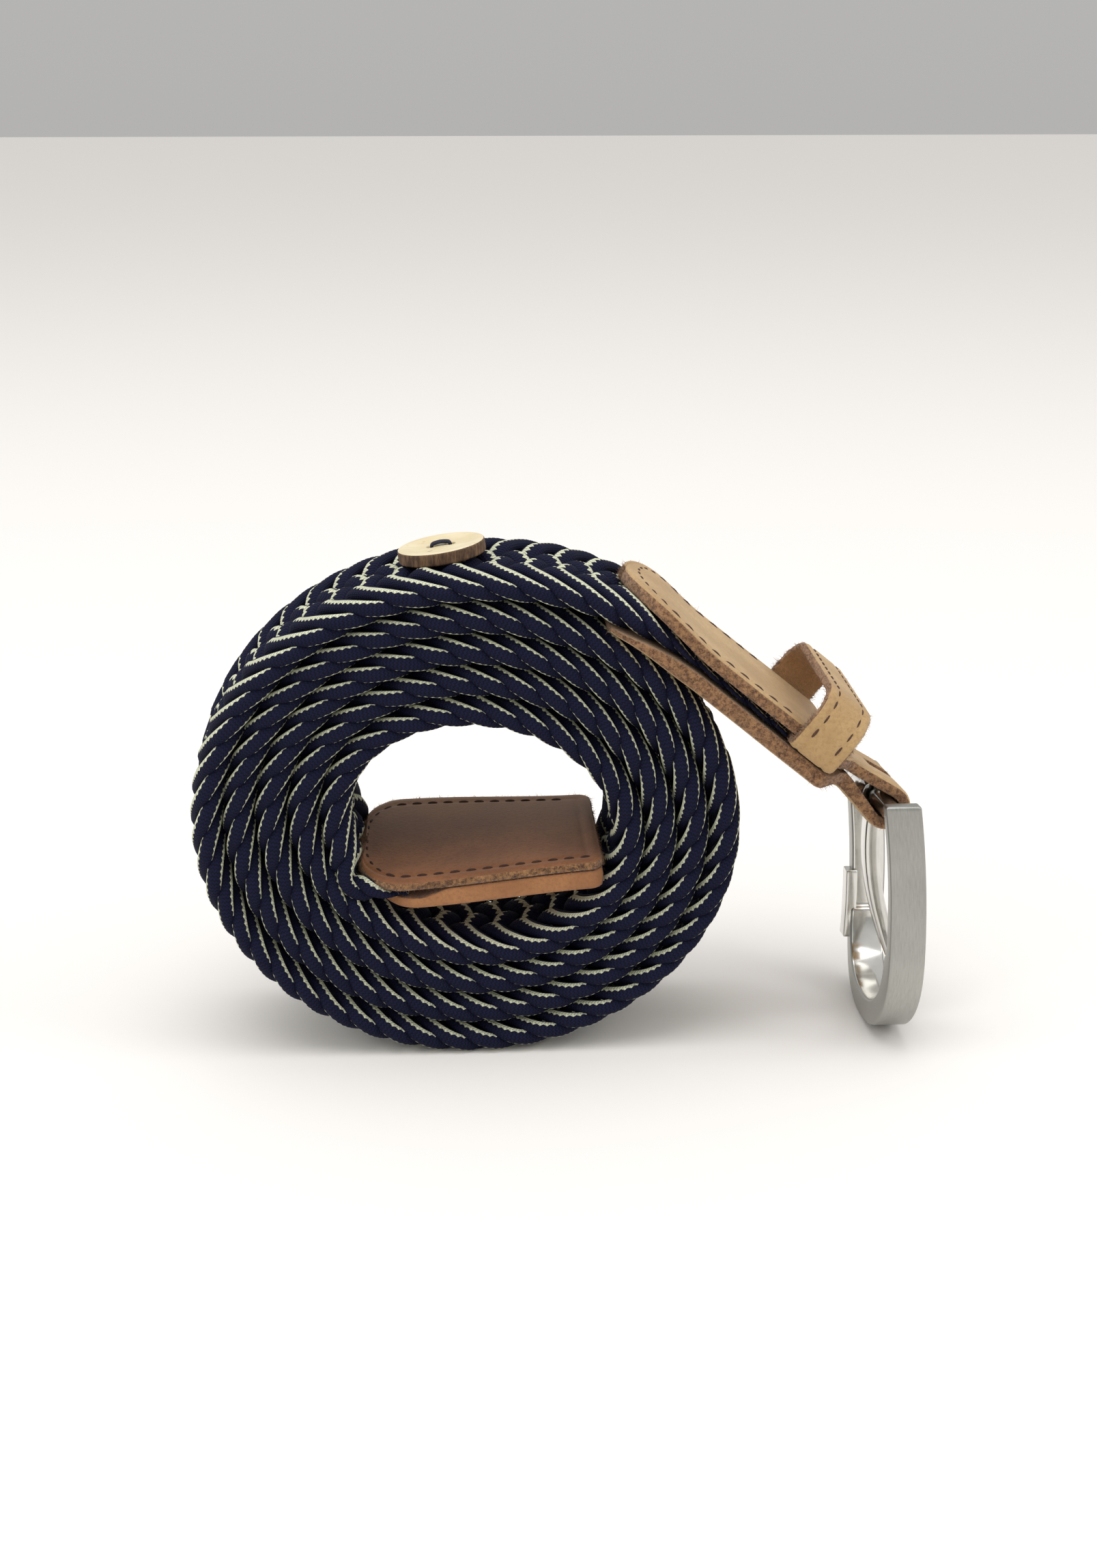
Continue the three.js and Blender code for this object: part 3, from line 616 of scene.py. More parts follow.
# Loose fibres on a raw edge: thin three-sided spikes that bend, rooted over the edge's height
def fibres(name, rim, v, material):
    count = v["fibreCount"]
    random = np.random.default_rng(v["fibreSeed"])
    pick = random.integers(0, len(rim["middle"]), count)
    height = random.uniform(-0.5, 0.5, count)[:, None]
    root = rim["middle"][pick] + rim["through"][pick] * height + rim["away"][pick] * 0.05
    way = unit(rim["away"][pick] * 0.9 + random.normal(size=(count, 3)) * 0.75)
    curl = random.normal(size=(count, 3)) * 0.5
    length = v["fibreReach"] * random.uniform(0.35, 1.0, count)[:, None]
    share = np.array([0.0, 0.5, 1.0])[None, :, None]
    centre = root[:, None] + way[:, None] * length[:, None] * share + (curl * length)[:, None] * share ** 2
    sideA = unit(np.cross(way, rim["through"][pick] + 0.01))
    sideB = np.cross(way, sideA)
    thin = fibreRadius * np.array([1.0, 0.8, 0.35])[None, :, None, None]
    rings = centre[:, :, None] + circles(sideA, sideB, 3)[:, None] * thin
    newPiece(name, rings.reshape(-1, 3), manyTubes(count, 3, 3), [material], "root")


# Stitches: one small capsule for each, sunk a little into the leather
def stitches(name, ends, v, material):
    start, end, out = ends
    sides, rows = 8, 9
    share = np.linspace(0.0, 1.0, rows)
    profile = np.sqrt(np.clip(1.0 - (2.0 * share - 1.0) ** 4, 0.0, 1.0)) * 0.97 + 0.03
    bow = np.sin(np.pi * share)
    way = unit(end - start)
    flank = np.cross(out, way)
    centre = start[:, None] + (end - start)[:, None] * share[None, :, None]
    centre = centre + out[:, None] * ((bow - 1.0) * v["stitchSink"])[None, :, None]
    thick = (v["stitchRadius"] * profile)[None, :, None, None]
    rings = centre[:, :, None] + circles(out, flank, sides)[:, None] * thick
    newPiece(name, rings.reshape(-1, 3), manyTubes(len(start), rows, sides), [material], "root")


# Both ends of each stitch along a path, evenly spaced, and the direction out of the leather
def stitchEnds(path, out, v):
    length = runningLength(path)
    begin = np.arange(0.0, length[-1] - v["stitchPitch"], v["stitchPitch"])
    reach = v["stitchPitch"] * v["stitchShare"]
    start = sample(begin, length, path)
    return start, sample(begin + reach, length, path), unit(sample(begin + reach / 2.0, length, out))


# How far a face is lowered: a shallow groove under the stitches, and the worn cut edge
def lowering(v, fromEdge):
    groove = v["grooveDepth"] * np.exp(-((fromEdge - v["stitchInset"]) / v["grooveHalf"]) ** 2)
    return groove + v["wornDepth"] * (1.0 - smoothStep(fromEdge, 0.0, v["wornReach"])) ** 2


def tanLeather(name, light, base, dark, grainDepth, gradient=None):
    material, tree, shader = newMaterial(name, 0.62, sheen=0.12)
    place = objectPlace(tree)
    cloud = noise(tree, place, 70.0, 4.0, 0.6)
    speck = noise(tree, place, 1500.0, 3.0, 0.7)
    grain = noise(tree, place, 3200.0, 3.0, 0.7)
    color = blendColors(tree, ramp(tree, cloud, 0.35, 0.7), dark, light)
    color = blendColors(tree, 0.55, color, base)
    color = blendColors(tree, ramp(tree, speck, 0.42, 0.72, 0.0, 0.6), color, dark)
    color = blendColors(tree, ramp(tree, grain, 0.5, 0.8, 0.0, 0.3), color, light)
    # Painted shade: given a far-side setting, the colour is blended towards a darker, greyer tone from nearY
    # to farY (towards +Y)
    if gradient:
        y = addNode(tree, "ShaderNodeSeparateXYZ", {0: place}).outputs["Y"]
        near = ramp(tree, y, gradient["nearY"] * metre, gradient["farY"] * metre)
        color = blendColors(tree, near, color, blendColors(tree, 0.6, color, gradient["far"]))
    tree.links.new(color, shader.inputs["Base Color"])
    pores = addNode(tree, "ShaderNodeTexVoronoi", {"Vector": place, "Scale": 1500.0}).outputs["Distance"]
    height = maths(tree, "ADD", maths(tree, "MULTIPLY", pores, 0.6), grain)
    height = maths(tree, "ADD", height, maths(tree, "MULTIPLY", cloud, 2.0))
    addBump(tree, shader, height, grainDepth)
    return material


def rawLeather(name, light, dark):
    material, tree, shader = newMaterial(name, 0.95, sheen=0.3)
    place = objectPlace(tree)
    tuft = noise(tree, place, 1400.0, 4.0, 0.75)
    fine = noise(tree, place, 4200.0, 3.0, 0.7)
    color = blendColors(tree, ramp(tree, tuft, 0.38, 0.62), dark, light)
    color = blendColors(tree, ramp(tree, fine, 0.45, 0.7, 0.0, 0.5), color, light)
    tree.links.new(color, shader.inputs["Base Color"])
    addBump(tree, shader, maths(tree, "ADD", tuft, fine), 0.35)
    return material


def plainThread(name, color, roughness):
    material, tree, shader = newMaterial(name, roughness)
    place = objectPlace(tree)
    twist = noise(tree, place, 3500.0, 2.0)
    darker = tuple(value * 0.45 for value in color)
    shown = blendColors(tree, ramp(tree, twist, 0.35, 0.65), darker, color)
    tree.links.new(shown, shader.inputs["Base Color"])
    addBump(tree, shader, twist, 0.05)
    return material


print("leather strap")

strapValues = {
    "width": 36.0,
    "faceThickness": 2.4,
    "backThickness": 3.1,
    "faceOverlap": 13.5,
    "backOverlap": 14.0,
    "pared": 1.0,
    "pareLength": 18.0,
    "roundLength": 12.0,
    "cornerRadius": 3.0,
    "braidIn": 24.6,
    "foldWidth": 26.0,
    "foldThickness": 2.2,
    "slotWidth": 6.4,
    "slotBack": 5.9,
    "barRadius": 1.8,
    "barPlay": 0.5,
    "barFromSeam": 9.9,
    "barAboveLine": -0.55,
    "gap": 0.3,
    "seamGapShare": 0.6,
    "endFillIn": 8.0,
    "endFillOut": 1.0,
    "keeperThickness": 1.7,
    "stationStep": 0.5,
    "easing": 0.8,  # of the bends between the strap's sides and its fold
    "grooveDepth": 0.22,
    "grooveHalf": 0.45,
    "wornDepth": 0.35,
    "wornReach": 1.6,
    "raw": (0.22, 0.07),  # bulge and roughness of the cut edge
    "fibreCount": 5200,
    "fibreReach": 0.75,
    "fibreSeed": 7,
    "stitchInset": 2.6,
    "stitchPitch": 3.4,
    "stitchShare": 0.78,  # of the pitch
    "stitchRadius": 0.3,
    "stitchSink": 0.22,
    "stitchLow": 0.12,  # under the strap's face, in the groove
    "stitchEndBack": 1.5,
    "light": (0.62, 0.43, 0.21),
    "base": (0.53, 0.345, 0.150),
    "dark": (0.33, 0.185, 0.070),
    "rawLight": (0.46, 0.24, 0.10),
    "rawDark": (0.13, 0.05, 0.018),
    "thread": (0.10, 0.045, 0.025),
}

strapWay = towards(beltLine["strapAngle"])
strapUp = towards(beltLine["strapAngle"] + 90.0)
barCentre = line["seam"] + strapWay * strapValues["barFromSeam"] + strapUp * strapValues["barAboveLine"]


# Half width of a strip with an elliptic end, at a distance from that end: half sqrt(1 - (1 - share)^2)
def roundedHalf(fromEnd, half, roundLength):
    share = np.clip(fromEnd / roundLength, 0.004, 1.0)
    return half * np.sqrt(1.0 - (1.0 - share) ** 2)


def strapInside(v, distance):
    atBase = v["keeperThickness"] / 2.0 + v["gap"]
    onBraid = braidThickness(distance) / 2.0 + v["gap"]
    braidEnd = line["strapStart"] + v["braidIn"]
    pastBraid = smoothStep(distance, braidEnd - v["endFillIn"], braidEnd - v["endFillOut"])
    atSeam = smoothStep(distance, line["length"] - beltLine["foldTaper"], line["length"])
    carried = mix(onBraid, np.maximum(onBraid, atBase), pastBraid)
    return mix(carried, v["gap"] * v["seamGapShare"], atSeam)


# Half width of the strap where no end rounds it
def strapHalf(v, distance):
    narrowed = smoothStep(distance, line["length"] - beltLine["foldTaper"], line["length"])
    return mix(v["width"], v["foldWidth"], narrowed) / 2.0


# Distances from an end that start close together, so that a rounded end stays smooth
def roundedSteps(start, roundLength, end, step):
    eased = start + roundLength * (1.0 - np.cos(np.linspace(0.0, np.pi / 2.0, 30)))
    return np.concatenate([eased, evenSteps(start + roundLength, end, step)[1:]])


def strapStations(v):
    faceStart = line["strapStart"] - v["faceOverlap"]
    backStart = line["strapStart"] - v["backOverlap"]
    face = roundedSteps(faceStart, v["roundLength"], line["length"], 0.5)
    point, up, side, fall = beltFrames(face)
    inside = strapInside(v, face)
    faceOuter = point + up * (inside + v["faceThickness"])[:, None]
    faceInner = point + up * inside[:, None]
    roundEnd = roundedHalf(face - faceStart, v["width"] / 2.0, v["roundLength"])
    faceHalf = np.minimum(strapHalf(v, face), roundEnd)
    # The fold: an arc round the bar, from the tangent over it to the tangent under it
    radius = v["barRadius"] + v["barPlay"] + v["foldThickness"] / 2.0
    gapAtSeam = v["gap"] * v["seamGapShare"]

    def tangentAngle(start, turn):
        away = start - barCentre
        return np.arctan2(away[2], away[0]) + turn * np.arccos(radius / np.linalg.norm(away))

    faceEnd = line["seam"] + strapUp * (gapAtSeam + v["faceThickness"] / 2.0)
    backEnd = line["seam"] - strapUp * (gapAtSeam + v["backThickness"] / 2.0)
    over = tangentAngle(faceEnd, -1.0)
    under = tangentAngle(backEnd, 1.0) - 2.0 * np.pi
    angle = np.linspace(over, under, 70)
    spoke = np.stack([np.cos(angle), 0 * angle, np.sin(angle)], -1)
    foldOuter = barCentre + spoke * (radius + v["foldThickness"] / 2.0)
    foldInner = barCentre + spoke * (radius - v["foldThickness"] / 2.0)
    foldHalf = np.full(len(angle), v["foldWidth"] / 2.0)
    foldFall = np.full(len(angle), np.tan(np.radians(beltLine["frameRoll"])))
    back = roundedSteps(backStart, v["cornerRadius"], line["length"], 0.5)[::-1]
    point, up, side, backFall = beltFrames(back)
    inside = strapInside(v, back)
    full = smoothStep(back, backStart, backStart + v["pareLength"])
    thickness = mix(v["pared"], v["backThickness"], full)
    backOuter = point - up * (inside + thickness)[:, None]
    backInner = point - up * inside[:, None]
    cornerHalf = roundedHalf(back - backStart, v["cornerRadius"], v["cornerRadius"])
    backHalf = np.minimum(strapHalf(v, back), v["width"] / 2.0 - v["cornerRadius"] + cornerHalf)
    outer = np.concatenate([faceOuter, foldOuter, backOuter])
    inner = np.concatenate([faceInner, foldInner, backInner])
    half = np.concatenate([faceHalf, foldHalf, backHalf])
    slope = np.concatenate([fall, foldFall, backFall])
    return outer, inner, half, slope


# The same stations again, closer together where they are far apart, and eased at the fold's ends
def easedStations(outer, inner, half, slope, step, easing):
    middle = (outer + inner) / 2.0
    length = runningLength(middle)
    finer = [np.array([0.0])]
    for low, high in zip(length[:-1], length[1:]):
        finer.append(np.linspace(low, high, max(1, int(np.ceil((high - low) / step))) + 1)[1:])
    where = np.concatenate(finer)
    values = np.concatenate([outer, inner, half[:, None], slope[:, None]], 1)
    dense = sample(where, length, values)
    even = np.arange(-4 * easing, 4 * easing + 0.01, 0.25)
    weight = np.exp(-0.5 * (even / easing) ** 2)
    eased = sum(w * sample(where + shift, length, values[:, :6]) for w, shift in zip(weight, even))
    eased = eased / weight.sum()
    fromEnd = np.minimum(where, where[-1] - where)
    share = smoothStep(fromEnd, 0.0, 4.0 * easing)[:, None]
    dense[:, :6] = mix(dense[:, :6], eased, share)
    return dense[:, :3], dense[:, 3:6], dense[:, 6], dense[:, 7]


def buildStrap(v):
    tan = tanLeather("tanLeather", v["light"], v["base"], v["dark"], 0.09)
    flesh = rawLeather("tanFlesh", v["rawLight"], v["dark"])
    raw = rawLeather("tanRawEdge", v["rawLight"], v["rawDark"])
    outer, inner, half, slope = easedStations(*strapStations(v), v["stationStep"], v["easing"])
    share = np.linspace(-1.0, 1.0, 65)
    across = half[:, None] * share[None, :]
    sideways = np.zeros((len(half), len(share), 3))
    sideways[:, :, 1] = across
    sideways[:, :, 2] = -slope[:, None] * across
    through = unit(outer - inner)
    lower = lowering(v, half[:, None] - np.abs(across))[:, :, None]
    outerGrid = outer[:, None] + sideways - through[:, None] * lower
    innerGrid = inner[:, None] + sideways
    along = ((outer + inner) / 2.0 - barCentre) @ strapWay
    inSlot = (along[:-1] > -v["slotBack"]) & (along[1:] > -v["slotBack"])
    middleCell = np.abs((share[:-1] + share[1:]) / 2.0) * v["foldWidth"] / 2.0 < v["slotWidth"] / 2.0
    keep = ~(inSlot[:, None] & middleCell[None, :])
    materials = [tan, flesh, raw]
    rim = sheetPiece(
        "strap_leather", outerGrid, innerGrid, keep, v["raw"], materials, ("strap",), 4,
    )
    fibres("strap_fibres", rim, v, raw)
    return materials


tanMaterials = buildStrap(strapValues)
strapThread = plainThread("strapThread", strapValues["thread"], 0.8)


# Two lines of stitches beside the strap's edges, joined round its end
def buildStrapStitches(v):
    faceStart = line["strapStart"] - v["faceOverlap"]
    lastAt = line["strapStart"] + v["braidIn"] - v["stitchEndBack"]
    inset = v["stitchInset"]
    distance = roundedSteps(faceStart + inset, v["roundLength"] - inset, lastAt, 0.4)
    half = np.minimum(
        strapHalf(v, distance) - inset,
        roundedHalf(distance - faceStart - inset, v["width"] / 2.0 - inset, v["roundLength"] - inset),
    )
    point, up, side, fall = beltFrames(distance)
    lifted = point + up * (strapInside(v, distance) + v["faceThickness"] - v["stitchLow"])[:, None]
    paths = [lifted + side * (sign * half)[:, None] for sign in (-1.0, 1.0)]
    path = np.concatenate([paths[0][::-1], paths[1][1:]])
    out = np.concatenate([up[::-1], up[1:]])
    stitches("strap_stitches", stitchEnds(path, out, v), v, strapThread)


buildStrapStitches(strapValues)

print("keeper loop")

keeperValues = {
    "band": 9.4,
    "thickness": 1.7,
    "room": 6.6,
    "topRadius": 6.5,
    "baseRadius": 2.2,
    "play": 0.6,
    "afterBraid": 0.5,
    "grooveDepth": 0.2,
    "grooveHalf": 0.4,
    "wornDepth": 0.25,
    "wornReach": 1.2,
    "raw": (0.2, 0.06),
    "fibreCount": 2600,
    "fibreReach": 0.7,
    "fibreSeed": 15,
    "stitchInset": 1.8,
    "stitchPitch": 3.2,
    "stitchShare": 0.75,
    "stitchRadius": 0.26,
    "stitchSink": 0.2,
}


# Rounded rectangle from the middle of its base, through its four corners: equal steps on each piece
def roundedLoop(half, low, high, lowRadius, highRadius):
    quarter = np.linspace(0.0, np.pi / 2.0, 14)
    straight = np.linspace(0.0, 1.0, 24)[:, None]

    def corner(x, y, radius, start):
        return np.stack([x + radius * np.cos(start + quarter), y + radius * np.sin(start + quarter)], 1)

    corners = [
        corner(half - lowRadius, low + lowRadius, lowRadius, -np.pi / 2.0),
        corner(half - highRadius, high - highRadius, highRadius, 0.0),
        corner(-half + highRadius, high - highRadius, highRadius, np.pi / 2.0),
        corner(-half + lowRadius, low + lowRadius, lowRadius, np.pi),
    ]
    base = np.array([[0.0, low]])
    pieces = [base + (corners[0][0] - base) * straight]
    for first, second in zip(corners, corners[1:]):
        pieces.append(first[1:])
        pieces.append((first[-1] + (second[0] - first[-1]) * straight)[1:])
    pieces.append(corners[3][1:])
    pieces.append((corners[3][-1] + (base - corners[3][-1]) * straight)[1:])
    return np.concatenate(pieces)


def buildKeeper(v, s):
    thickness = v["thickness"]
    inner = s["width"] / 2.0 + v["play"]
    high = thickness / 2.0 + 2.0 * s["gap"] + s["faceThickness"] + v["room"]
    base, top = v["baseRadius"], v["topRadius"]
    outside = roundedLoop(inner + thickness, -thickness / 2.0, high + thickness, base, top)
    inside = roundedLoop(inner, thickness / 2.0, high, base - thickness, top - thickness)
    start = line["strapPoint"] + strapWay * (s["braidIn"] + v["afterBraid"])
    share = np.linspace(0.0, 1.0, 30)
    band = share * v["band"]

    def grid(outline, lower):
        tangent = unit(np.gradient(outline, axis=0))
        outward = np.stack([tangent[:, 1], -tangent[:, 0]], 1)
        flat = outline[:, None] - outward[:, None] * lower[None, :, None]
        place = start + strapWay * band[None, :, None]
        return place + flat[:, :, :1] * np.array([0.0, 1.0, 0.0]) + flat[:, :, 1:] * strapUp

    outerGrid = grid(outside, lowering(v, np.minimum(band, v["band"] - band)))
    innerGrid = grid(inside, 0.0 * band)
    keep = np.ones((len(outside) - 1, len(share) - 1), bool)
    rim = sheetPiece(
        "keeper_leather", outerGrid, innerGrid, keep, v["raw"], tanMaterials,
        ("keeper_loop",), 12,
    )
    fibres("keeper_fibres", rim, v, tanMaterials[2])
    lines = []
    for place in (v["stitchInset"], v["band"] - v["stitchInset"]):
        where = int(round(place / v["band"] * (len(share) - 1)))
        out = unit(outerGrid[:, where] - innerGrid[:, where])
        lines.append(stitchEnds(outerGrid[:, where], out, v))
    ends = [np.concatenate(part) for part in zip(*lines)]
    stitches("keeper_stitches", ends, v, strapThread)


buildKeeper(keeperValues, strapValues)

print("leather tip")

tipValues = {
    "width": 34.5,
    "faceThickness": 1.7,
    "backThickness": 1.9,
    "pared": 0.8,
    "backShort": 3.0,
    "cornerRadius": 2.5,
    "braidIn": 12.0,
    "gap": 0.3,
    "backFillIn": 7.0,
    "backFillOut": 1.0,
    "grooveDepth": 0.25,
    "grooveHalf": 0.45,
    "wornDepth": 0.3,
    "wornReach": 1.4,
    "faceRaw": (0.18, 0.08),
    "backRaw": (0.2, 0.008),
    "fibreCount": 3600,
    "fibreReach": 0.6,
    "fibreSeed": 27,
    "stitchInset": 2.6,
    "stitchPitch": 3.0,
    "stitchShare": 0.74,
    "stitchRadius": 0.3,
    "stitchSink": 0.2,
    "stitchLow": 0.14,
    "stitchFrom": 1.5,
    "stitchTo": 0.2,  # before the line round the neck
    "light": (0.36, 0.145, 0.048),
    "base": (0.27, 0.10, 0.032),
    "dark": (0.14, 0.050, 0.018),
    # painted shade: the darker, greyer colour that the tip's face takes towards its far side
    "far": (0.19, 0.095, 0.036),
    "bandLight": (0.46, 0.21, 0.075),
    "band": (0.36, 0.150, 0.050),
    "bandDark": (0.22, 0.085, 0.028),
    "rawLight": (0.46, 0.23, 0.085),
    "rawDark": (0.10, 0.036, 0.013),
    "thread": (0.06, 0.022, 0.012),
}


def tipStations(v, length, isFace):
    roundLength = beltLine["tipRound"]
    eased = length - roundLength * (1.0 - np.cos(np.linspace(np.pi / 2.0, 0.0, 30)))
    corner = v["cornerRadius"] * (1.0 - np.cos(np.linspace(0.0, np.pi / 2.0, 12)))
    straight = evenSteps(v["cornerRadius"], length - roundLength, 0.5)
    distance = np.concatenate([corner, straight[1:], eased[1:]])
    point, up, side, fall = beltFrames(distance)
    atNeck = roundedHalf(length - distance, v["width"] / 2.0, roundLength)
    cornerHalf = roundedHalf(distance, v["cornerRadius"], v["cornerRadius"])
    half = np.minimum(atNeck, v["width"] / 2.0 - v["cornerRadius"] + cornerHalf)
    braidHalf = braidThickness(distance) / 2.0 + v["gap"]
    if isFace:
        upper, lower = -braidHalf, -braidHalf - v["faceThickness"]
    else:
        braidStart = beltLine["tipLength"] - v["braidIn"]
        filled = 1.0 - smoothStep(distance, braidStart - v["backFillIn"], braidStart - v["backFillOut"])
        pared = smoothStep(distance, beltLine["tipLength"] - roundLength, beltLine["tipLength"])
        upper = braidHalf + mix(v["backThickness"], v["pared"], pared)
        lower = mix(braidHalf, -braidHalf + v["gap"], filled)
    return point, up, side, half, upper, lower, distance


def buildTip(v):
    # Painted shade on the tip's face: darker and greyer from Y -6 mm to Y 17 mm
    far = {"nearY": -6.0, "farY": 17.0, "far": v["far"]}
    skin = tanLeather("tipLeather", v["light"], v["base"], v["dark"], 0.06, far)
    band = tanLeather("tipBandLeather", v["bandLight"], v["band"], v["bandDark"], 0.06)
    flesh = rawLeather("tipFlesh", v["band"], v["dark"])
    raw = rawLeather("tipRawEdge", v["rawLight"], v["rawDark"])
    share = np.linspace(-1.0, 1.0, 61)
    for name, length, isFace, node, seed in (
        ("tip_face_leather", beltLine["tipLength"], True, "tip_face", 21),
        ("tip_back_leather", beltLine["tipLength"] - v["backShort"], False, "tip_back", 24),
    ):
        point, up, side, half, upper, lower, distance = tipStations(v, length, isFace)
        across = half[:, None] * share[None, :]
        fromEdge = np.minimum(half[:, None] - np.abs(across), distance[:, None])
        lowered = lowering(v, fromEdge) if isFace else 0.0 * fromEdge
        sideways = side[:, None] * across[:, :, None]
        high = point[:, None] + sideways + up[:, None] * (upper[:, None] + 0 * across)[:, :, None]
        low = point[:, None] + sideways + up[:, None] * (lower[:, None] + lowered)[:, :, None]
        keep = np.ones((len(half) - 1, len(share) - 1), bool)
        materials = [flesh, skin, raw] if isFace else [band, flesh, band]
        edge = v["faceRaw"] if isFace else v["backRaw"]
        rim = sheetPiece(name, high, low, keep, edge, materials, (node,), seed)
        if isFace:
            fibres("tip_fibres", rim, v, raw)
            inset = v["stitchInset"]
            rows = (distance > v["stitchFrom"]) & (distance < length - inset - v["stitchTo"])
            full = v["width"] / 2.0 - inset
            reach = roundedHalf(length - inset - distance[rows], full, beltLine["tipRound"] - inset)
            reach = np.minimum(reach, full)
            base = point[rows] + up[rows] * (lower[rows] + v["stitchLow"])[:, None]
            paths = [base + side[rows] * (sign * reach)[:, None] for sign in (-1.0, 1.0)]
            path = np.concatenate([paths[0], paths[1][::-1]])
            out = -np.concatenate([up[rows], up[rows][::-1]])
            thread = plainThread("tipThread", v["thread"], 0.8)
            stitches("tip_stitches", stitchEnds(path, out, v), v, thread)


buildTip(tipValues)

print("buckle")

buckleValues = {
    "bandWidth": 6.6,
    "outerWidth": 42.0,
    "aboveBar": 2.0,
    "drop": 44.0,
    "armThickness": 3.5,
    "hoopThickness": 4.8,
    "stepAboveFoot": 16.8,
    "hoopRise": 18.0,
    "squareness": 2.4,
    "bow": 1.5,
    "edge": 0.55,
    "beyondBar": 1.25,
    "lapHeight": 14.0,
    "lapProud": 1.3,
    "lapAboveFoot": 10.8,
    "lapWidth": 4.0,
    "lapSunk": 1.0,
    "lapEdge": 0.4,
    "barRadius": 1.8,
    "prongWidth": 5.0,
    "prongThickness": 3.0,
    "prongTipThickness": 2.4,
    "eyeWall": 1.1,
    "prongPlay": 0.25,
    "prongShort": 0.4,
    "prongBelly": 3.0,
    "prongBellyAt": 0.47,  # shares of the drop
    "prongTurnAt": 0.77,
    "prongTipOut": 0.3,
    "prongEdge": 0.7,
    "seatGap": 0.3,
    "nickel": (0.45, 0.445, 0.42),
    "nickelShade": (0.33, 0.33, 0.305),
    "polished": (0.70, 0.69, 0.655),
}


def brushedNickel(v):
    material, tree, shader = newMaterial("brushedNickel", 0.36, metallic=1.0)
    uv = addNode(tree, "ShaderNodeUVMap", uv_map="UVMap").outputs[0]
    stretch = addNode(tree, "ShaderNodeMapping", {"Vector": uv, "Scale": (160.0, 0.12, 1.0)}).outputs[0]
    lines = noise(tree, stretch, 3.0, 5.0, 0.75)
    cloud = noise(tree, objectPlace(tree), 60.0, 2.0)
    tone = maths(tree, "ADD", lines, maths(tree, "MULTIPLY", cloud, 0.4))
    color = blendColors(tree, ramp(tree, tone, 0.45, 0.95), v["nickelShade"], v["nickel"])
    tree.links.new(color, shader.inputs["Base Color"])
    tree.links.new(ramp(tree, lines, 0.3, 0.7, 0.30, 0.44), shader.inputs["Roughness"])
    addBump(tree, shader, lines, 0.02)
    return material


def polishedNickel(v):
    material, tree, shader = newMaterial("polishedNickel", 0.14, metallic=1.0)
    place = objectPlace(tree)
    smear = noise(tree, place, 90.0, 3.0)
    darker = tuple(value * 0.86 for value in v["polished"])
    shown = blendColors(tree, ramp(tree, smear, 0.4, 0.6), darker, v["polished"])
    tree.links.new(shown, shader.inputs["Base Color"])
    tree.links.new(ramp(tree, smear, 0.3, 0.7, 0.10, 0.20), shader.inputs["Roughness"])
    addBump(tree, shader, noise(tree, place, 500.0, 2.0), 0.006)
    return material


# Turns points drawn about the bar, X outwards, to where the buckle hangs
def buckleTurn(v):
    roll = np.radians(beltLine["frameRoll"])
    across, height = hoopLine(v, v["outerWidth"] / 2.0, -v["drop"], v["hoopRise"], 400)
    reach = (across * np.sin(roll) - height * np.cos(roll)).max()
    lean = np.arccos(min(1.0, barCentre[2] / reach))
    aboutY = np.array([[np.cos(-lean), 0, np.sin(-lean)], [0, 1, 0], [-np.sin(-lean), 0, np.cos(-lean)]])
    aboutX = np.array([[1, 0, 0], [0, np.cos(-roll), -np.sin(-roll)], [0, np.sin(-roll), np.cos(-roll)]])
    return aboutY @ aboutX


# The hoop: a superellipse, |x/a|^n + |z/b|^n = 1, from one side to the other
def hoopLine(v, half, foot, rise, count):
    angle = np.linspace(0.0, np.pi, count)
    power = 2.0 / v["squareness"]
    across = half * np.sign(np.cos(angle)) * np.abs(np.cos(angle)) ** power
    return across, foot + rise * (1.0 - np.sin(angle) ** power)


def resample(points, count):
    length = runningLength(points)
    return sample(np.linspace(0.0, length[-1], count), length, points)


# A rounded rectangle of half sizes a and b, drawn smaller by inset
def roundedSection(a, b, edge, inset):
    quarter = np.linspace(0.0, np.pi / 2.0, 5)
    ring = []
    for start, signA, signB in ((0, 1, 1), (1, -1, 1), (2, -1, -1), (3, 1, -1)):
        turn = quarter + start * np.pi / 2.0
        reachA = signA * (a - edge)[:, None] + (edge - inset)[:, None] * np.cos(turn)[None, :]
        reachB = signB * (b - edge)[:, None] + (edge - inset)[:, None] * np.sin(turn)[None, :]
        ring.append(np.stack([reachA, reachB], -1))
    return np.concatenate(ring, 1)


# A bar of rounded rectangular section along a path. first and second are the directions of the
# section's two sides; the ends are rounded by the edge radius.
def sweptBar(path, first, second, halfFirst, halfSecond, edge):
    way = unit(np.gradient(path, axis=0))
    turn = np.linspace(0.0, np.pi / 2.0, 5)[:-1]
    inset = edge * (1.0 - np.sin(turn))
    count = len(path)
    rows = [(0, inset[k], -edge * np.cos(turn[k])) for k in range(4)]
    rows = rows + [(k, 0.0, 0.0) for k in range(count)]
    rows = rows + [(count - 1, inset[k], edge * np.cos(turn[k])) for k in range(3, -1, -1)]
    index = np.array([row[0] for row in rows])
    inset = np.array([row[1] for row in rows])
    shift = np.array([row[2] for row in rows])
    section = roundedSection(halfFirst[index], halfSecond[index], np.full(len(rows), edge), inset)
    centre = path[index] + way[index] * shift[:, None]
    reachFirst = first[index][:, None] * section[:, :, :1]
    reachSecond = second[index][:, None] * section[:, :, 1:]
    return centre[:, None] + reachFirst + reachSecond


def joinMeshes(parts):
    points, groups, offset = [], [], 0
    for part, partGroups in parts:
        points.append(part)
        groups.extend([(faces + offset, uv, m) for faces, uv, m in partGroups])
        offset += len(part)
    return np.concatenate(points), groups


# Faces of a bar: its UV is the share round the section and the millimetres along the path
def barGroups(rings, material):
    return tubeGroups(rings.shape[0], rings.shape[1], runningLength(rings.mean(1)), None, material)


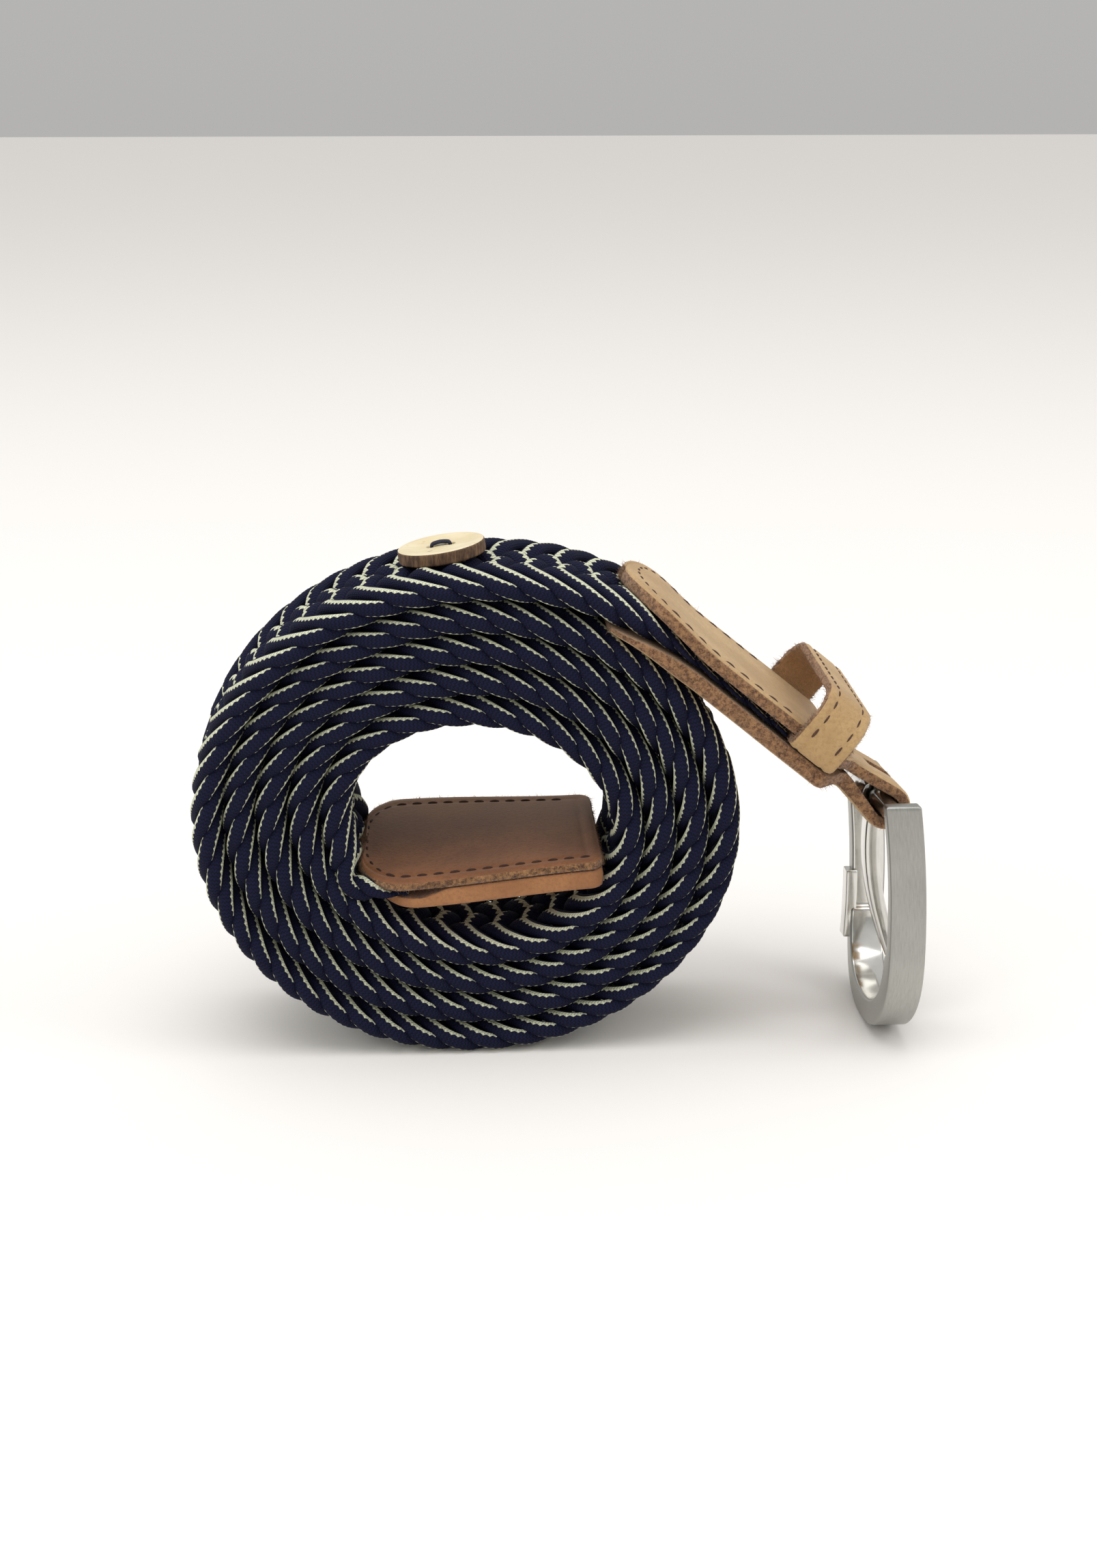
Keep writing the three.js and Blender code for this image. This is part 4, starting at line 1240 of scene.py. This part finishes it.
def buildBuckle(v):
    brushed, polished = brushedNickel(v), polishedNickel(v)
    turn = buckleTurn(v)
    half = v["outerWidth"] / 2.0
    bowMiddle = (v["aboveBar"] - v["drop"]) / 2.0
    bowHalf = (v["aboveBar"] + v["drop"]) / 2.0

    def bowAt(z):
        return v["bow"] * (1.0 - ((z - bowMiddle) / bowHalf) ** 2)

    def outline(armAt, hoopHalf, foot, rise, count):
        across, height = hoopLine(v, hoopHalf, foot, rise, 240)
        arm = evenSteps(foot + rise, v["aboveBar"] - v["edge"], 0.5)[::-1][:-1]
        points = np.concatenate([
            np.stack([0 * arm + armAt, arm], 1),
            np.stack([across, height], 1),
            np.stack([0 * arm - armAt, arm], 1)[::-1],
        ])
        return resample(points, count)

    count = 320
    outer = outline(half, half, -v["drop"], v["hoopRise"], count)
    innerHalf = half - v["hoopThickness"]
    innerFoot = v["hoopThickness"] - v["drop"]
    innerRise = v["stepAboveFoot"] - v["hoopThickness"]
    inner = outline(half - v["armThickness"], innerHalf, innerFoot, innerRise, count)
    # Both lines have the same number of steps, and the section spans from one to the other
    centre = (outer + inner) / 2.0
    thickness = np.linalg.norm(outer - inner, axis=1)
    outward = unit(outer - inner)
    xAt = v["beyondBar"] + bowAt(centre[:, 1])
    path = np.stack([xAt, centre[:, 0], centre[:, 1]], 1)
    first = np.stack([0 * xAt, outward[:, 0], outward[:, 1]], 1)
    second = np.tile([1.0, 0.0, 0.0], (count, 1))
    rings = sweptBar(path, first, second, thickness / 2.0, np.full(count, v["bandWidth"] / 2.0), v["edge"])
    columns = rings.shape[1]
    groups = barGroups(rings, 0)
    # The polished inner face: the quads between the section's two inner corners
    quads, quadUv = groups[0][:2]
    column = np.tile(np.arange(columns), len(rings) - 1)
    material = np.where((column >= 8) & (column <= 10), 1, 0)
    groups[0] = (quads, quadUv, material)
    parts = [(tubePoints(rings), groups)]
    reach = half - v["armThickness"] / 2.0
    barAcross = np.linspace(-reach, reach, 40)
    barPath = np.stack([0 * barAcross, barAcross, 0 * barAcross], 1)
    outX, outZ = np.array([[v["barRadius"], 0.0, 0.0]]), np.array([[0.0, 0.0, v["barRadius"]]])
    barRings = barPath[:, None] + circles(outX, outZ, 32)
    parts.append((tubePoints(barRings), barGroups(barRings, 1)))
    plateZ = v["lapAboveFoot"] + v["lapHeight"] / 2.0 - v["drop"]
    plateHalf = v["lapHeight"] / 2.0 - v["edge"]
    zs = np.linspace(plateZ - plateHalf, plateZ + plateHalf, 30)
    plateX = v["beyondBar"] - v["bandWidth"] / 2.0 + bowAt(zs) + (v["lapSunk"] - v["lapProud"]) / 2.0
    platePath = np.stack([plateX, 0 * zs + half - v["hoopThickness"] / 2.0, zs], 1)
    ones = np.ones(30)
    plate = sweptBar(
        platePath, np.tile([0.0, 1.0, 0.0], (30, 1)), np.tile([1.0, 0.0, 0.0], (30, 1)),
        ones * v["lapWidth"] / 2.0, ones * (v["lapProud"] + v["lapSunk"]) / 2.0, v["lapEdge"],
    )
    parts.append((tubePoints(plate), barGroups(plate, 1)))
    points, groups = joinMeshes(parts)
    points = points @ turn.T + barCentre
    newPiece("buckle_band", points, groups, [brushed, polished], "frame", ("buckle_frame",))

    # The prong: a cubic stem from under its eye to the hoop's face
    eyeInner = v["barRadius"] + v["prongPlay"]
    face = v["beyondBar"] + v["bandWidth"] / 2.0 + bowAt(v["hoopThickness"] - v["drop"])
    seatX = face + v["seatGap"] + v["prongTipThickness"] / 2.0
    a = np.array([0.0, -eyeInner - v["eyeWall"] / 2.0])
    b = np.array([-v["prongBelly"], -v["drop"] * v["prongBellyAt"]])
    c = np.array([seatX, -v["drop"] * v["prongTurnAt"]])
    d = np.array([seatX + v["prongTipOut"], -v["drop"] + v["prongShort"] + v["prongEdge"]])
    stem = cubic(a, b, c, d, 90)
    share = np.linspace(0.0, 1.0, len(stem))
    tangent = unit(np.gradient(stem, axis=0))
    path = np.stack([stem[:, 0], 0 * stem[:, 0], stem[:, 1]], 1)
    first = np.stack([-tangent[:, 1], 0 * tangent[:, 0], tangent[:, 0]], 1)
    second = np.tile([0.0, 1.0, 0.0], (len(path), 1))
    halfThick = mix(v["prongThickness"], v["prongTipThickness"], share) / 2.0
    halfWide = v["prongWidth"] / 2.0 - 0.5 * smoothStep(share, 0.85, 1.0)
    stemRings = sweptBar(path, first, second, halfThick, halfWide, v["prongEdge"])
    angle = np.linspace(0.0, 2.0 * np.pi, 73)
    radius = eyeInner + v["eyeWall"] / 2.0
    eyePath = np.stack([radius * np.cos(angle), 0 * angle, radius * np.sin(angle)], 1)
    spoke = np.stack([np.cos(angle), 0 * angle, np.sin(angle)], 1)
    wide = np.tile([0.0, 1.0, 0.0], (len(angle), 1))
    full = np.ones(len(angle))
    section = roundedSection(full * v["eyeWall"] / 2.0, full * v["prongWidth"] / 2.0, full * 0.3, 0 * full)
    eyeRings = eyePath[:, None] + spoke[:, None] * section[:, :, :1] + wide[:, None] * section[:, :, 1:]
    points, groups = joinMeshes([
        (tubePoints(stemRings), barGroups(stemRings, 0)),
        (tubePoints(eyeRings), barGroups(eyeRings, 0)),
    ])
    points = points @ turn.T + barCentre
    newPiece("prong_polished", points, groups, [polished], "prong", ("prong",))


buildBuckle(buckleValues)

print("button")

buttonValues = {
    "diameter": 16.0,
    "thickness": 2.4,
    "angle": 95.5,
    "tilt": 3.0,
    "holeRadius": 0.9,
    "holeSpacing": 3.4,
    "gap": 0.3,
    "dish": 0.35,
    "rimRound": 0.45,
    "underRound": 0.35,
    "axisHole": 0.02,
    "holeDepth": 1.9,
    "threadRadius": 0.3,
    "strandsAt": (-0.42, 0.0, 0.40),
    "shell": (0.74, 0.62, 0.38),
    "shellLight": (0.82, 0.72, 0.49),
    "shellDark": (0.50, 0.36, 0.17),
    "side": (0.20, 0.11, 0.055),
    "sideDark": (0.07, 0.035, 0.018),
    "thread": (0.022, 0.024, 0.05),
}


def coconutTop(v):
    material, tree, shader = newMaterial("coconutTop", 0.42)
    place = objectPlace(tree)
    long = addNode(tree, "ShaderNodeMapping", {"Vector": place, "Scale": (0.35, 1.0, 1.0)}).outputs[0]
    cloud = noise(tree, long, 260.0, 4.0, 0.6)
    color = blendColors(tree, ramp(tree, cloud, 0.35, 0.68), v["shell"], v["shellLight"])
    specks = noise(tree, long, 620.0, 2.0, 0.5)
    color = blendColors(tree, ramp(tree, specks, 0.70, 0.76, 0.0, 0.85), color, v["sideDark"])
    pale = noise(tree, place, 900.0, 2.0, 0.5)
    color = blendColors(tree, ramp(tree, pale, 0.62, 0.75, 0.0, 0.4), color, v["shellDark"])
    tree.links.new(color, shader.inputs["Base Color"])
    addBump(tree, shader, maths(tree, "ADD", cloud, specks), 0.05)
    return material


def coconutSide(v):
    material, tree, shader = newMaterial("coconutSide", 0.7)
    place = objectPlace(tree)
    tall = addNode(tree, "ShaderNodeMapping", {"Vector": place, "Scale": (1.0, 1.0, 0.25)}).outputs[0]
    fibre = noise(tree, tall, 1300.0, 3.0, 0.7)
    color = blendColors(tree, ramp(tree, fibre, 0.35, 0.68), v["sideDark"], v["side"])
    pale = ramp(tree, noise(tree, tall, 700.0), 0.6, 0.75, 0.0, 0.5)
    color = blendColors(tree, pale, color, v["shellDark"])
    tree.links.new(color, shader.inputs["Base Color"])
    addBump(tree, shader, fibre, 0.08)
    return material


# The button is a turned disc: a profile of radius and height, carried round its axis. Its two
# holes are cups let into the top.
def buildButton(v):
    share = (beltLine["fullTurns"] + (beltLine["startAngle"] - v["angle"]) / 360.0) / (
        beltLine["fullTurns"] + (beltLine["startAngle"] - beltLine["leaveAngle"]) / 360.0
    )
    near = spiralPoints(beltLine, np.array([share - 1e-5, share, share + 1e-5]))
    seatWay = unit(near[2] - near[0])
    seatNormal = np.array([-seatWay[2], 0.0, seatWay[0]])
    tilt = np.radians(v["tilt"])
    tangent = seatWay * np.cos(tilt) + seatNormal * np.sin(tilt)
    normal = seatNormal * np.cos(tilt) - seatWay * np.sin(tilt)
    across = np.array([0.0, 1.0, 0.0])
    seat = near[1] + seatNormal * (beltLine["thickness"] / 2.0 + v["gap"])
    radius, height = v["diameter"] / 2.0, v["thickness"]
    turn = np.linspace(0.0, np.pi / 2.0, 7)
    rimRadius = radius - v["rimRound"] + v["rimRound"] * np.sin(turn)
    rimHeight = height - v["rimRound"] + v["rimRound"] * np.cos(turn)
    inner = np.linspace(v["axisHole"], radius - v["rimRound"], 90)[:-1]
    dish = height - v["dish"] * (1.0 - smoothStep(inner, radius * 0.55, radius * 0.9))
    under = v["underRound"]
    side = np.linspace(height - v["rimRound"], under, 10)[1:]
    bottom = np.linspace(radius - under, v["axisHole"], 20)[1:]
    cornerRadius = radius - under + under * np.cos(turn[1:])
    cornerHeight = under - under * np.sin(turn[1:])
    profileRadius = np.concatenate([inner, rimRadius, 0 * side + radius, cornerRadius, bottom])
    profileHeight = np.concatenate([dish, rimHeight, side, cornerHeight, 0 * bottom])
    angle = 2.0 * np.pi * np.arange(120) / 120
    x = profileRadius[:, None] * np.cos(angle)[None, :]
    y = profileRadius[:, None] * np.sin(angle)[None, :]
    z = np.repeat(profileHeight[:, None], len(angle), 1)
    isTop = (np.arange(len(profileRadius)) < len(inner) + 5)[:, None]
    for sign in (-1.0, 1.0):
        fromHole = np.sqrt((x - sign * v["holeSpacing"] / 2.0) ** 2 + y ** 2)
        cup = v["holeDepth"] * (1.0 - smoothStep(fromHole, v["holeRadius"] * 0.82, v["holeRadius"] * 1.12))
        z = np.where(isTop, z - cup, z)
    rings = seat + x[..., None] * tangent + y[..., None] * across + z[..., None] * normal
    rows, columns = rings.shape[:2]
    groups = tubeGroups(rows, columns, np.arange(rows) * 1.0)
    faces, uv = groups[0][:2]
    row = np.repeat(np.arange(rows - 1), columns)
    groups[0] = (faces, uv, np.where(row < len(inner) + 3, 0, 1))
    groups[2] = (groups[2][0], groups[2][1], 1)
    newPiece(
        "button_shell", tubePoints(rings), groups, [coconutTop(v), coconutSide(v)], "root",
        ("button",),
    )
    # Sewing thread: three strands side by side through both holes
    half = v["holeSpacing"] / 2.0
    corner = 0.75
    strandMaterial = plainThread("buttonThread", v["thread"], 0.85)
    parts = []
    for strand, offset in enumerate(v["strandsAt"]):
        knots = np.array([
            [-half, 0.2], [-half, height * 0.6], [-half, height - 0.2], [-half + corner * 0.4, height + 0.12],
            [0.0, height + 0.3 + 0.08 * (strand == 1)],
            [half - corner * 0.4, height + 0.12], [half, height - 0.2], [half, height * 0.6], [half, 0.2],
        ])
        knotAt = np.linspace(0.0, 1.0, len(knots))
        dense = sample(np.linspace(0.0, 1.0, 200), knotAt, knots)
        kernel = np.exp(-0.5 * (np.arange(-14, 15) / 6.0) ** 2)
        kernel = kernel / kernel.sum()
        padded = np.pad(dense, ((14, 14), (0, 0)), mode="edge")
        smooth = np.stack([np.convolve(padded[:, k], kernel, "valid") for k in range(2)], 1)[::3]
        swing = offset * (0.75 + 0.25 * np.cos(np.linspace(-np.pi, np.pi, len(smooth))))
        centre = seat + smooth[:, :1] * tangent + swing[:, None] * across + smooth[:, 1:] * normal
        way = unit(np.gradient(centre, axis=0))
        out = unit(np.cross(way, across))
        wide = np.cross(out, way)
        rings = centre[:, None] + v["threadRadius"] * circles(out, wide, 10)
        parts.append((tubePoints(rings), barGroups(rings, 0)))
    points, groups = joinMeshes(parts)
    newPiece("button_sewing", points, groups, [strandMaterial], "root", ("button_thread",))


buildButton(buttonValues)
